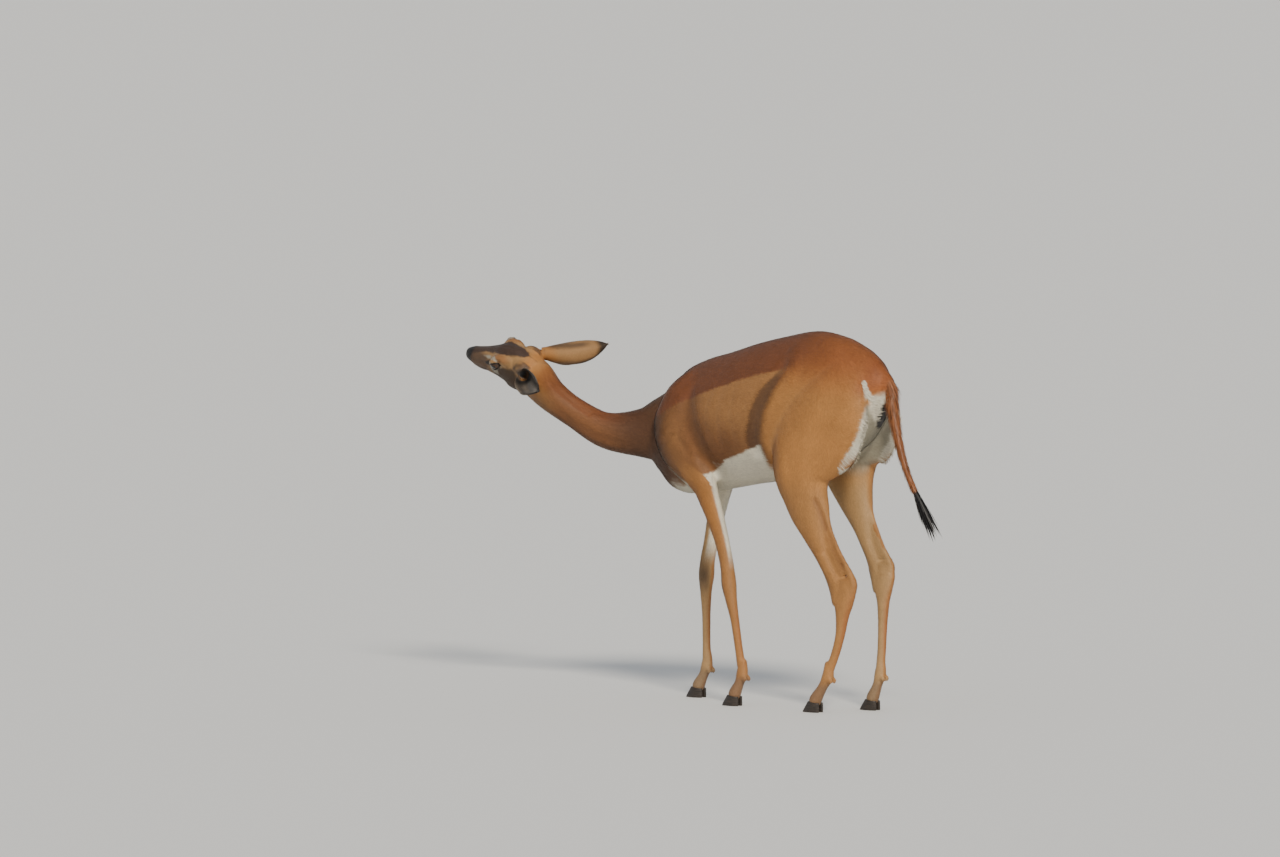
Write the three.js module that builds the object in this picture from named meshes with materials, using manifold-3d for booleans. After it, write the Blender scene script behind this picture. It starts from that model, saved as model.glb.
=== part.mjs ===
// A female gerenuk at life size, walking slowly and reaching her muzzle forward to browse.
// Millimetres, +Z up. She faces -X and her left side is -Y. The origin is on the floor,
// under the middle of her outer box.

import * as THREE from 'three';
import { mergeVertices } from 'three/addons/utils/BufferGeometryUtils.js';
import Module from 'manifold-3d';

const wasm = await Module();
wasm.setup();

// Driving dimensions, measured from the floor and from the hollow of her back

const gap = 0.3;
const trunk = { rumpX: 318, tailX: 325, chestX: -412, croupZ: 988, withersZ: 896, bellyZ: 578, girth: 117 };
const neckSize = { root: 88, middle: 49, throat: 41 };
const eyes = { radius: 15.5, apart: 76, forward: 10, above: 1, detail: [12, 9] };
const skull = { place: [-826, -139, 896], muzzleX: 136, pollX: -106, widest: 47, crown: 34, jaw: -101 };
const ear = { length: 178, root: [-83, 42, -10], widest: 32, tube: 14, skin: 3, bow: 9 };
const claw = { length: 50, width: 17, height: 29, split: 2.4, back: 9 };
const tuft = { locks: 18, short: 44, long: 92, wide: 11, thick: 4.2, spread: 0.2, seed: 7 };

// Directions of the head: muzzle, left cheek and crown, for a head rolled to show its crown

const muzzleWay = new THREE.Vector3(-0.985, -0.04, 0.17).normalize();
const crownWay = new THREE.Vector3(0.156, -0.637, 0.755);
crownWay.addScaledVector(muzzleWay, -crownWay.dot(muzzleWay)).normalize();
const leftWay = new THREE.Vector3().crossVectors(crownWay, muzzleWay);
const headFrame = new THREE.Matrix4().makeBasis(muzzleWay, leftWay, crownWay);
headFrame.setPosition(...skull.place);

const coats = {
  saddle: { color: 0x6e3b1f, roughness: 0.78, metalness: 0 },
  flank: { color: 0xa9692f, roughness: 0.8, metalness: 0 },
  tan: { color: 0xb26f35, roughness: 0.8, metalness: 0 },
  face: { color: 0x8a5229, roughness: 0.78, metalness: 0 },
  earBack: { color: 0xa5794f, roughness: 0.82, metalness: 0 },
  tailHair: { color: 0x4a2818, roughness: 0.8, metalness: 0 },
  eye: { color: 0x120b08, roughness: 0.08, metalness: 0 },
  horn: { color: 0x1d1714, roughness: 0.45, metalness: 0 },
};

// A closed surface from rings of points, each ring closed by the same number of points

function skinRings(rings) {
  const count = rings[0].length;
  const points = rings.flat();
  const index = [];
  for (let ring = 0; ring + 1 < rings.length; ring += 1) {
    for (let k = 0; k < count; k += 1) {
      const a = ring * count + k;
      const b = ring * count + (k + 1) % count;
      index.push(a, b, b + count, a, b + count, a + count);
    }
  }
  for (const ring of [0, rings.length - 1]) {
    const middle = new THREE.Vector3();
    rings[ring].forEach((p) => middle.addScaledVector(p, 1 / count));
    points.push(middle);
    for (let k = 0; k < count; k += 1) {
      const a = ring * count + k;
      const b = ring * count + (k + 1) % count;
      index.push(...(ring === 0 ? [points.length - 1, b, a] : [points.length - 1, a, b]));
    }
  }
  return solidFrom(points, index);
}

// A solid from points and triangles, turned inside out where its faces point inwards

function solidFrom(points, index) {
  const vertProperties = new Float32Array(points.flatMap((p) => [p.x, p.y, p.z]));
  let volume = 0;
  for (let i = 0; i < index.length; i += 3) {
    const [a, b, c] = [points[index[i]], points[index[i + 1]], points[index[i + 2]]];
    volume += new THREE.Vector3().crossVectors(a, b).dot(c);
  }
  const order = volume > 0 ? index : index.slice().reverse();
  return new wasm.Manifold(new wasm.Mesh({ numProp: 3, vertProperties, triVerts: new Uint32Array(order) }));
}

// A rounded form along a smooth line through its stations. Each station has its middle (at), its half
// width to the side (wide), its half height above (tall) and below (low), and ridge and keel, which
// narrow the section towards its top and its bottom. Sections stand square to the line, or all face one way.

function limb(stations, options) {
  const { sides = 20, steps = 3, up = [0, 0, 1], facing = null, ends = [0.6, 0.6], grow = 0 } = options;
  const line = new THREE.CatmullRomCurve3(stations.map((s) => new THREE.Vector3(...s.at)));
  const girths = new THREE.CatmullRomCurve3(
    stations.map((s) => new THREE.Vector3(s.wide, s.tall, s.low ?? s.tall)), false, 'catmullrom', 0.5);
  const edges = new THREE.CatmullRomCurve3(
    stations.map((s) => new THREE.Vector3(s.ridge ?? 0, s.keel ?? 0, 0)), false, 'catmullrom', 0.5);
  const total = (stations.length - 1) * steps;
  const top = new THREE.Vector3(...up);
  const rings = [];
  const addRing = (t, shrink, push) => {
    const ahead = facing ? new THREE.Vector3(...facing) : line.getTangent(t);
    const side = new THREE.Vector3().crossVectors(ahead, top).normalize();
    const rise = new THREE.Vector3().crossVectors(side, ahead);
    const size = girths.getPoint(t);
    const edge = edges.getPoint(t);
    const reach = Math.min(size.x, size.y) + grow;
    const middle = line.getPoint(t).addScaledVector(ahead, push * reach);
    const ring = [];
    for (let k = 0; k < sides; k += 1) {
      const angle = 2 * Math.PI * (k + 0.5) / sides;
      const [c, s] = [Math.cos(angle), Math.sin(angle)];
      const narrow = 1 - (s > 0 ? edge.x : edge.y) * s * s;
      const out = (size.x * narrow + grow) * shrink * c;
      const high = ((s > 0 ? size.y : size.z) + grow) * shrink * s;
      ring.push(middle.clone().addScaledVector(side, out).addScaledVector(rise, high));
    }
    rings.push(ring);
  };
  const roundings = [0.92, 0.6];
  roundings.forEach((q) => addRing(0, Math.sqrt(1 - q * q), -q * ends[0]));
  for (let step = 0; step <= total; step += 1) {
    addRing(step / total, 1, 0);
  }
  roundings.slice().reverse().forEach((q) => addRing(1, Math.sqrt(1 - q * q), q * ends[1]));
  return skinRings(rings);
}

// An egg-shaped solid at a place, turned by Euler angles in degrees

function egg(place, radii, turn = [0, 0, 0], detail = [12, 8]) {
  const shape = new THREE.SphereGeometry(1, detail[0], detail[1]);
  shape.scale(...radii);
  shape.applyMatrix4(new THREE.Matrix4().makeRotationFromEuler(
    new THREE.Euler(...turn.map(THREE.MathUtils.degToRad))));
  shape.translate(...place);
  return solidOf(shape);
}

function solidOf(shape) {
  for (const name of ['normal', 'uv']) {
    shape.deleteAttribute(name);
  }
  const merged = mergeVertices(shape, 1e-4);
  const spot = merged.getAttribute('position');
  const points = [];
  for (let i = 0; i < spot.count; i += 1) {
    points.push(new THREE.Vector3().fromBufferAttribute(spot, i));
  }
  return solidFrom(points, Array.from(merged.index.array));
}

function join(pieces) {
  return pieces.reduce((whole, piece) => whole.add(piece));
}

function cut(whole, cutters) {
  return cutters.reduce((rest, cutter) => rest.subtract(cutter), whole);
}

// The largest closed surface of a solid, with no scrap and no sealed hollow

function largest(solid) {
  const parts = solid.decompose();
  return parts.reduce((best, part) => (part.volume() > best.volume() ? part : best));
}

function moved(solid, matrix) {
  return solid.transform(matrix.elements);
}

// A repeatable draw between 0 and 1

function drawer(seed) {
  let state = seed;
  return () => {
    state = (state * 16807) % 2147483647;
    return state / 2147483647;
  };
}

// Trunk

function trunkForm(grow = 0) {
  const profile = [
    { x: trunk.rumpX, top: 890, low: 792, wide: 30 },
    { x: 300, top: 918, low: 748, wide: 54 },
    { x: 262, top: 946, low: 700, wide: 78 },
    { x: 200, top: 973, low: 656, wide: 95 },
    { x: 110, top: trunk.croupZ, low: 622, wide: 103 },
    { x: 10, top: 973, low: 594, wide: 113 },
    { x: -90, top: 949, low: trunk.bellyZ, wide: trunk.girth },
    { x: -180, top: 922, low: 561, wide: 112 },
    { x: -262, top: trunk.withersZ + 4, low: 547, wide: 97 },
    { x: -326, top: 870, low: 543, wide: 80 },
    { x: -374, top: 814, low: 558, wide: 66 },
    { x: trunk.chestX, top: 764, low: 596, wide: 50 },
  ];
  const stations = profile.map(({ x, top, low, wide }) => ({
    at: [x, 0, (top + low) / 2], wide, tall: (top - low) / 2, ridge: 0.18, keel: 0.12 }));
  return limb(stations, { sides: 22, steps: 2, facing: [-1, 0, 0], ends: [0.7, 0.5], grow });
}

// Neck

function neckForm(grow = 0) {
  const throat = new THREE.Vector3(-86, 10, -46).applyMatrix4(headFrame);
  const nape = new THREE.Vector3(-52, 0, -34).applyMatrix4(headFrame);
  const stations = [
    { at: [-346, 0, 718], wide: 54, tall: 108 },
    { at: [-404, -4, 706], wide: 52, tall: neckSize.root + 3 },
    { at: [-462, -26, 698], wide: 46, tall: 66 },
    { at: [-544, -72, 704], wide: 41, tall: neckSize.middle },
    { at: [-620, -106, 748], wide: 39, tall: 41 },
    { at: [-684, -131, 796], wide: neckSize.throat + 2, tall: neckSize.throat + 4 },
    { at: throat.toArray(), wide: 45, tall: 51, low: 57 },
    { at: nape.toArray(), wide: 34, tall: 38 },
  ];
  return limb(stations, { sides: 16, steps: 2, ends: [0.2, 0.3], grow });
}

// Head, in its own frame: x to the muzzle, y to her left, z to the crown, from between the eyes

function skullForm(grow = 0) {
  const profile = [
    { x: skull.pollX, top: -4, low: -66, wide: 26 },
    { x: -90, top: 15, low: -86, wide: 38 },
    { x: -58, top: 28, low: -101, wide: 45 },
    { x: -25, top: skull.crown, low: skull.jaw, wide: skull.widest },
    { x: 6, top: 31, low: -95, wide: 44 },
    { x: 34, top: 20, low: -88, wide: 36 },
    { x: 64, top: 9, low: -80, wide: 30 },
    { x: 94, top: 0, low: -71, wide: 26 },
    { x: 118, top: -6, low: -62, wide: 23 },
    { x: skull.muzzleX, top: -14, low: -52, wide: 17 },
  ];
  const stations = profile.map(({ x, top, low, wide }) => ({
    at: [x, 0, (top + low) / 2], wide, tall: (top - low) / 2, ridge: 0.1, keel: x > 20 ? 0.3 : 0.14 }));
  return limb(stations, { sides: 18, facing: [1, 0, 0], ends: [0.5, 0.45], grow });
}

// The deep muscle of each cheek, and the mound that each ear grows from

function cheekForms(grow = 0) {
  return [-1, 1].flatMap((side) => [
    egg([-32, side * 27, -55], [48 + grow, 24 + grow, 40 + grow]),
    egg([-66, side * 29, -4], [31 + grow, 21 + grow, 27 + grow], [0, 0, 0], [10, 7]),
  ]);
}

function eyePlace(side, out = 0) {
  return [eyes.forward, side * (eyes.apart / 2 + out), eyes.above];
}

function lidOpening(side) {
  const almond = new THREE.Shape();
  almond.moveTo(-17, -4);
  almond.quadraticCurveTo(-2, 18, 15, 1);
  almond.quadraticCurveTo(1, -16, -17, -4);
  const shape = new THREE.ExtrudeGeometry(almond, { depth: 30, bevelEnabled: false, curveSegments: 6 });
  shape.rotateX(Math.PI / 2);
  if (side > 0) {
    shape.translate(0, 30, 0);
  }
  shape.translate(eyes.forward, side * (eyes.apart / 2 + 4), eyes.above);
  return solidOf(shape);
}

function mouthLine() {
  const slit = new THREE.Shape();
  slit.moveTo(74, -48);
  slit.quadraticCurveTo(104, -57.5, 146, -54.5);
  slit.lineTo(146, -50.5);
  slit.quadraticCurveTo(104, -55, 74, -48);
  const shape = new THREE.ExtrudeGeometry(slit, { depth: 60, bevelEnabled: false, curveSegments: 8 });
  shape.rotateX(Math.PI / 2);
  shape.translate(0, 30, 0);
  return solidOf(shape).subtract(skullForm(-5.5));
}

function headSolid() {
  const forms = [skullForm(), ...cheekForms()];
  const hollows = [mouthLine()];
  forms.push(egg([117, 0, -34], [17, 21.5, 15]), egg([96, 0, -65], [42, 15, 12], [0, -8, 0]));
  for (const side of [-1, 1]) {
    forms.push(egg([-10, side * 31, 10], [33, 18, 20], [0, 0, side * 6], [12, 7]));
    forms.push(egg([-4, side * 33, -8], [33, 15, 21], [0, 0, 0], [12, 7]));
    forms.push(egg(eyePlace(side), [18.6, 17, 18.2], [0, 0, 0], eyes.detail));
    hollows.push(egg(eyePlace(side), Array(3).fill(eyes.radius + gap), [0, 0, 0], eyes.detail));
    hollows.push(lidOpening(side));
    hollows.push(egg([129, side * 9.5, -26], [6.5, 2.4, 5.4], [0, 30, side * 38], [12, 8]));
  }
  return moved(largest(cut(join(forms), hollows)), headFrame);
}

function eyeSolid(side) {
  return moved(egg(eyePlace(side), Array(3).fill(eyes.radius), [0, 0, 0], eyes.detail), headFrame);
}

// Ear: a leaf of skin rolled into a tube at its root, along the way it points, open towards its cup

function earSolid(side, pointing, opening) {
  const root = new THREE.Vector3(ear.root[0], side * ear.root[1], ear.root[2]);
  const along = new THREE.Vector3(...pointing).normalize();
  const open = new THREE.Vector3(...opening);
  open.addScaledVector(along, -open.dot(along)).normalize();
  const across = new THREE.Vector3().crossVectors(open, along);
  const spots = 8;
  const rings = [];
  const levels = [0, 0.06, 0.14, 0.24, 0.36, 0.48, 0.6, 0.7, 0.8, 0.88, 0.95, 1];
  for (const u of levels) {
    const roll = THREE.MathUtils.degToRad(THREE.MathUtils.lerp(150, 62, Math.min(1, u / 0.45)));
    const spread = THREE.MathUtils.smoothstep(u, -0.12, 0.42);
    const leaf = u < 0.52 ? 1 : (1 - ((u - 0.52) / 0.48) ** 2.1) ** 0.85;
    const half = Math.max(THREE.MathUtils.lerp(ear.tube, ear.widest, spread) * leaf, 2.2);
    const round = half / Math.sin(Math.min(roll, Math.PI / 2));
    const middle = root.clone().addScaledVector(along, ear.length * u);
    middle.addScaledVector(open, round - ear.tube + 6 * u * u);
    middle.addScaledVector(across, -side * ear.bow * Math.sin(Math.PI * u));
    const spot = (radius, angle) => middle.clone()
      .addScaledVector(across, radius * Math.sin(angle))
      .addScaledVector(open, -radius * Math.cos(angle));
    const angles = Array.from({ length: spots }, (_, k) => roll * (2 * k / (spots - 1) - 1));
    const inner = round - Math.min(ear.skin, half * 0.5);
    rings.push([...angles.map((a) => spot(round, a)), ...angles.reverse().map((a) => spot(inner, a))]);
  }
  const leafSolid = skinStrip(rings, spots);
  const bulb = egg([-8, 0, 0], [16, ear.tube - 1, ear.tube - 1]);
  const turn = new THREE.Matrix4().makeBasis(along, across, open).setPosition(root);
  const whole = leafSolid.add(moved(bulb, turn));
  const neckRoom = moved(neckForm(gap), headFrame.clone().invert());
  const clear = cut(whole, [skullForm(gap), ...cheekForms(gap), neckRoom]);
  return moved(largest(clear), headFrame);
}

// A bent sheet whose rings run out along its back and home along its inside

function skinStrip(rings, spots) {
  const count = 2 * spots;
  const points = rings.flat();
  const index = [];
  for (let ring = 0; ring + 1 < rings.length; ring += 1) {
    for (let k = 0; k < count; k += 1) {
      const a = ring * count + k;
      const b = ring * count + (k + 1) % count;
      index.push(a, b, b + count, a, b + count, a + count);
    }
  }
  for (const first of [0, (rings.length - 1) * count]) {
    for (let k = 0; k + 1 < spots; k += 1) {
      const [a, b, c, d] = [first + k, first + k + 1, first + count - 2 - k, first + count - 1 - k];
      index.push(...(first === 0 ? [a, c, b, a, d, c] : [a, b, c, a, c, d]));
    }
  }
  return solidFrom(points, index);
}

// Legs: each is a chain of joints from the body to the coronet over the hoof

const foreAft = [-1, 0, 0];

function legForm(chain) {
  const stations = chain.map(([x, y, z, deep, wide]) => ({ at: [x, y, z], wide, tall: deep }));
  const widest = Math.max(...chain.map((joint) => joint[4]));
  const sides = widest > 30 ? 11 : widest > 16 ? 9 : 7;
  return limb(stations, { sides, steps: 2, up: foreAft, ends: [0.5, 0.3] });
}

// Fetlock to coronet, with the two small dewclaws behind the fetlock

function footForms(fetlock, coronet) {
  const [fx, fy, fz] = fetlock;
  const [cx, cy, cz] = coronet;
  const chain = [
    [fx + 3, fy, fz + 34, 11.5, 10.5],
    [fx, fy, fz, 16.5, 14.5],
    [(fx + cx) / 2 + 3, (fy + cy) / 2, (fz + cz) / 2 + 2, 13, 14],
    [cx, cy, cz, 17, 18],
    [cx - 4, cy, cz - 12, 15, 16],
  ];
  const dewclaws = [-1, 1].map((way) =>
    egg([fx + 14, fy + way * 9, fz - 12], [8, 4.5, 9], [0, 25, 0], [7, 4]));
  return [legForm(chain), ...dewclaws];
}

// One claw of a hoof: a pointed sole, a steep toe and a sloping coronet

function clawForm(middle, way, grow = 0) {
  const [x, y] = middle;
  const rings = [];
  const levels = [
    { z: 0, long: 0.5, wide: 0.47, shift: 0 },
    { z: 0.12, long: 0.505, wide: 0.5, shift: 0.01 },
    { z: 0.5, long: 0.43, wide: 0.5, shift: 0.08 },
    { z: 1, long: 0.33, wide: 0.48, shift: 0.17 },
  ];
  for (const level of levels) {
    const ring = [];
    for (let k = 0; k < 10; k += 1) {
      const angle = 2 * Math.PI * k / 10;
      const [c, s] = [Math.cos(angle), Math.sin(angle)];
      const toe = 1 - 0.34 * Math.max(0, c) ** 1.5;
      const flat = way * s < 0 ? 0.72 : 1;
      ring.push(new THREE.Vector3(
        x - (claw.length * level.long + grow) * c + claw.length * level.shift,
        y + (claw.width * level.wide * toe * flat + grow) * s + way * c * 1.5,
        level.z * claw.height + (level.z === 1 ? grow - 2.5 * (1 - c) : 0) - (level.z === 0 ? grow : 0)));
    }
    rings.push(ring);
  }
  return skinRings(rings);
}

function hoofClaws(coronet) {
  const [cx, cy] = coronet;
  return [-1, 1].map((way) => ({
    way,
    middle: [cx - claw.back, cy + way * (claw.width + claw.split) / 2],
  }));
}

// Stance: hind legs with the left one forward, forelegs with the right one forward

const legs = {
  hindleg_left: {
    side: -1,
    fetlock: [186, -71, 97],
    coronet: [146, -70, 34],
    chains: [
      [[206, 34, 905, 52, 34], [202, 56, 850, 96, 48], [184, 68, 790, 128, 54], [148, 76, 716, 140, 52],
        [122, 81, 655, 113, 48], [113, 83, 610, 88, 43], [120, 82, 562, 69, 37], [132, 81, 514, 55, 31],
        [152, 80, 470, 40, 25]],
      [[98, 81, 545, 30, 32], [116, 80, 500, 28, 28], [140, 78, 458, 24, 23], [170, 76, 412, 21, 19],
        [197, 74, 367, 21, 18], [217, 73, 330, 25, 19], [226, 72, 290, 24, 18]],
      [[160, 80, 600, 22, 22], [178, 79, 545, 15, 15], [190, 79, 500, 9, 10], [206, 77, 456, 8, 8],
        [232, 75, 408, 8, 7.5], [256, 73, 368, 10, 9], [267, 72, 342, 12, 12], [263, 72, 318, 13, 12]],
      [[158, 79, 520, 34, 18], [174, 78, 468, 32, 11], [202, 75, 410, 32, 8], [232, 73, 360, 28, 9]],
      [[238, 72, 352, 30, 14], [239, 72, 322, 36, 19], [237, 72, 290, 30, 19], [233, 72, 255, 20, 15.5],
        [226, 72, 205, 14.5, 12], [208, 71, 150, 13, 11.5], [192, 71, 115, 13.5, 12]],
    ],
  },
  hindleg_right: {
    side: 1,
    fetlock: [252, 68, 97],
    coronet: [229, 67, 34],
    chains: [
      [[206, 34, 905, 52, 34], [202, 56, 850, 96, 48], [186, 68, 790, 126, 54], [156, 76, 716, 130, 52],
        [138, 81, 655, 104, 48], [142, 83, 610, 79, 42], [156, 82, 562, 59, 35], [174, 80, 516, 44, 28],
        [190, 78, 480, 33, 23]],
      [[136, 81, 570, 30, 30], [158, 80, 525, 26, 26], [182, 77, 478, 23, 22], [206, 75, 432, 21, 19],
        [226, 73, 395, 21, 18], [240, 72, 360, 24, 19], [250, 71, 315, 22, 18]],
      [[182, 80, 625, 22, 20], [195, 80, 580, 15, 14], [204, 79, 535, 9, 10], [219, 77, 490, 8, 8],
        [243, 75, 442, 8, 7.5], [268, 73, 402, 10, 9], [281, 72, 378, 12, 12], [278, 71, 354, 13, 12]],
      [[178, 79, 550, 32, 17], [196, 78, 500, 30, 11], [222, 75, 444, 30, 8], [250, 73, 396, 27, 9]],
      [[256, 72, 386, 28, 14], [259, 72, 356, 35, 19], [259, 71, 322, 29, 19], [259, 71, 285, 19, 15.5],
        [258, 70, 230, 14.5, 12], [256, 69, 165, 13, 11.5], [253, 68, 118, 13.5, 12]],
    ],
  },
  foreleg_left: {
    side: -1,
    fetlock: [-100, -63, 86],
    coronet: [-124, -62, 34],
    chains: [
      [[-284, 38, 862, 20, 12], [-302, 55, 820, 42, 22], [-317, 66, 774, 54, 28], [-322, 72, 725, 62, 33],
        [-302, 74, 672, 62, 34], [-256, 75, 622, 52, 32], [-218, 74, 578, 38, 28], [-201, 71, 535, 31, 24],
        [-183, 69, 488, 26, 21], [-162, 67, 425, 21, 17.5], [-147, 66, 362, 19.5, 17.5], [-142, 65, 318, 21, 19.5],
        [-135, 65, 280, 17, 16], [-124, 64, 228, 13, 12], [-110, 64, 150, 12, 11], [-103, 63, 108, 13, 12]],
    ],
  },
  foreleg_right: {
    side: 1,
    fetlock: [-311, 60, 86],
    coronet: [-337, 60, 34],
    chains: [
      [[-284, 38, 862, 20, 12], [-304, 55, 820, 42, 22], [-320, 66, 774, 54, 28], [-328, 72, 725, 62, 33],
        [-318, 74, 672, 60, 34], [-292, 75, 622, 50, 32], [-274, 74, 578, 38, 28], [-278, 71, 535, 31, 24],
        [-286, 68, 488, 26, 21], [-298, 65, 425, 22, 17.5], [-310, 62, 365, 21, 18], [-313, 61, 325, 22, 20],
        [-314, 60, 285, 17, 16], [-313, 60, 228, 13, 12], [-312, 60, 150, 12, 11], [-311, 60, 108, 13, 12]],
    ],
  },
};

function legSolid({ side, fetlock, coronet, chains }) {
  const forms = chains.map((chain) =>
    legForm(chain.map(([x, y, z, deep, wide]) => [x, side * y, z, deep, wide])));
  const clawCuts = hoofClaws(coronet).map(({ middle, way }) => clawForm(middle, way, gap));
  const whole = join([...forms, ...footForms(fetlock, coronet)]);
  return largest(cut(whole, [trunkForm(gap), ...clawCuts]));
}

// Tail: a tapering dock that hangs and swings out to a tassel of long locks

function dockLine() {
  return [
    { at: [298, 0, 894], wide: 18, tall: 15 },
    { at: [trunk.tailX, 0, 862], wide: 19, tall: 15 },
    { at: [337, 0, 808], wide: 16, tall: 12.5 },
    { at: [351, 0, 744], wide: 11.5, tall: 9.5 },
    { at: [367, 0, 686], wide: 8.5, tall: 7.5 },
    { at: [388, 0, 630], wide: 7, tall: 6 },
    { at: [414, 0, 580], wide: 8, tall: 7 },
    { at: [434, 0, 548], wide: 7, tall: 6.5 },
  ];
}

// One flat lock that tapers and bends from its root, broad across the way it leaves the dock

function lockForm(root, way, outward, length, width, bend) {
  const across = new THREE.Vector3().crossVectors(way, outward).normalize();
  const rings = [];
  const levels = [{ t: 0, wide: 0.75 }, { t: 0.35, wide: 1 }, { t: 0.72, wide: 0.72 }, { t: 1, wide: 0.12 }];
  for (const { t, wide } of levels) {
    const middle = root.clone().addScaledVector(way, length * t).addScaledVector(bend, t * t);
    const half = width * wide / 2;
    const deep = tuft.thick * (1 - 0.75 * t) / 2;
    const corners = [[1, -0.5], [0.7, 1], [-0.7, 1], [-1, -0.5]];
    rings.push(corners.map(([a, b]) => middle.clone()
      .addScaledVector(across, half * a)
      .addScaledVector(outward, deep * b)));
  }
  return skinRings(rings);
}

function tassel() {
  const line = new THREE.CatmullRomCurve3(dockLine().slice(-3).map((s) => new THREE.Vector3(...s.at)));
  const draw = drawer(tuft.seed);
  const locks = [];
  for (let k = 0; k < tuft.locks; k += 1) {
    const share = k / (tuft.locks - 1);
    const t = 0.22 + 0.76 * share;
    const along = line.getTangent(t);
    const side = new THREE.Vector3(0, 1, 0);
    const front = new THREE.Vector3().crossVectors(along, side).normalize();
    const angle = k * 2.4 + draw() * 0.5;
    const outward = side.clone().multiplyScalar(Math.cos(angle)).addScaledVector(front, Math.sin(angle));
    const way = along.clone().addScaledVector(outward, tuft.spread * (0.25 + draw())).normalize();
    const root = line.getPoint(t).addScaledVector(outward, 3.2).addScaledVector(way, -6);
    const length = THREE.MathUtils.lerp(tuft.short, tuft.long, 0.35 * draw() + 0.65 * share);
    const bend = new THREE.Vector3(-4 + 8 * draw(), 0, -6 - 5 * draw()).addScaledVector(outward, -5 * draw());
    locks.push(lockForm(root, way, outward, length, tuft.wide * (0.75 + 0.4 * draw()), bend));
  }
  return locks;
}

function tailSolid() {
  const dock = limb(dockLine(), { sides: 10, steps: 2, up: [1, 0, 0], ends: [0.4, 0.8] });
  return largest(cut(join([dock, ...tassel()]), [trunkForm(gap)]));
}

// Assembly

function meshOf(name, solid, coat) {
  const { numProp, vertProperties, triVerts } = solid.getMesh();
  const spots = new Float32Array(vertProperties.length / numProp * 3);
  for (let i = 0; i < spots.length / 3; i += 1) {
    spots.set(vertProperties.subarray(i * numProp, i * numProp + 3), i * 3);
  }
  const shape = new THREE.BufferGeometry();
  shape.setAttribute('position', new THREE.BufferAttribute(spots, 3));
  shape.setIndex(new THREE.BufferAttribute(new Uint32Array(triVerts), 1));
  shape.computeVertexNormals();
  const mesh = new THREE.Mesh(shape, new THREE.MeshStandardMaterial(coat));
  mesh.name = name;
  return mesh;
}

const gerenuk = new THREE.Group();
const legSolids = Object.fromEntries(Object.entries(legs).map(([name, leg]) => [name, legSolid(leg)]));
const headWhole = headSolid();
const headRoom = [skullForm(gap), ...cheekForms(gap)].map((form) => moved(form, headFrame));
const neckWhole = largest(cut(neckForm(), [trunkForm(gap), ...headRoom]));

gerenuk.add(meshOf('torso', trunkForm(), coats.saddle));
gerenuk.add(meshOf('neck', neckWhole, coats.flank));
gerenuk.add(meshOf('head', headWhole, coats.face));
gerenuk.add(meshOf('ear_left', earSolid(1, [-0.72, 0.52, 0.38], [0.54, 0.21, 0.72]), coats.earBack));
gerenuk.add(meshOf('ear_right', earSolid(-1, [-0.78, -0.58, -0.14], [0.50, -0.37, -0.76]), coats.earBack));
gerenuk.add(meshOf('eye_left', eyeSolid(1), coats.eye));
gerenuk.add(meshOf('eye_right', eyeSolid(-1), coats.eye));
gerenuk.add(meshOf('tail', tailSolid(), coats.tailHair));
for (const [name, solid] of Object.entries(legSolids)) {
  gerenuk.add(meshOf(name, solid, coats.tan));
  for (const { middle, way } of hoofClaws(legs[name].coronet)) {
    const which = way === legs[name].side ? 'outer' : 'inner';
    gerenuk.add(meshOf(`hoof_${name.replace('leg', '')}_${which}`, clawForm(middle, way), coats.horn));
  }
}

const outer = new THREE.Box3().setFromObject(gerenuk);
const centre = outer.getCenter(new THREE.Vector3());
gerenuk.position.set(-centre.x, -centre.y, -outer.min.z);
gerenuk.updateMatrixWorld(true);

export default gerenuk;
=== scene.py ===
import math

import bmesh
import bpy
import numpy as np
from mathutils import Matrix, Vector


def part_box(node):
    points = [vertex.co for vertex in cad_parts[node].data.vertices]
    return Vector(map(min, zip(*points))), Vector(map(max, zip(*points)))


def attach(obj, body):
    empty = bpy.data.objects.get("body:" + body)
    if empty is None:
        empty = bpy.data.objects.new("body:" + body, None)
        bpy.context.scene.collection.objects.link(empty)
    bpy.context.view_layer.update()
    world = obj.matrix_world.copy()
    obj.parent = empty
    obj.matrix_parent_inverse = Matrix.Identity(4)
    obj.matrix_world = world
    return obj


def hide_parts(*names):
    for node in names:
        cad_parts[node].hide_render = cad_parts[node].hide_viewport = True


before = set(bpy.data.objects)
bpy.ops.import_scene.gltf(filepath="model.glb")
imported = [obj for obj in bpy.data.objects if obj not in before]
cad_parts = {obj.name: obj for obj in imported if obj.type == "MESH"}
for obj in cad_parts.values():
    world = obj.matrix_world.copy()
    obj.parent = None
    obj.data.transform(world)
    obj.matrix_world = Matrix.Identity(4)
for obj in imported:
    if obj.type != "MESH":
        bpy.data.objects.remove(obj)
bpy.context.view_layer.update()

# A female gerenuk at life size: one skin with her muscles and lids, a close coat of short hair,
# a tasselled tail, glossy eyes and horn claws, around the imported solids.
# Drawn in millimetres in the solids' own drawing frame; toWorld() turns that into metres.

seeds = {"coat": 31, "tuft": 7, "fringe": 12, "lash": 5, "ear": 9}


def arr(*values):
    return np.array(values, float)


def unit(v):
    return v / np.maximum(np.linalg.norm(v, axis=-1, keepdims=True), 1e-9)


def smooth(low, high, x):  # 0 below low, 1 above high
    t = np.clip((x - low) / (high - low), 0, 1)
    return t * t * (3 - 2 * t)


def mound(distance, reach):  # 1 at the middle, 0 from reach outwards
    t = np.clip(distance / reach, 0, 1)
    return (1 - t * t) ** 2


# Frame of the head: rows are the ways to her muzzle, her left cheek and her crown

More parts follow.
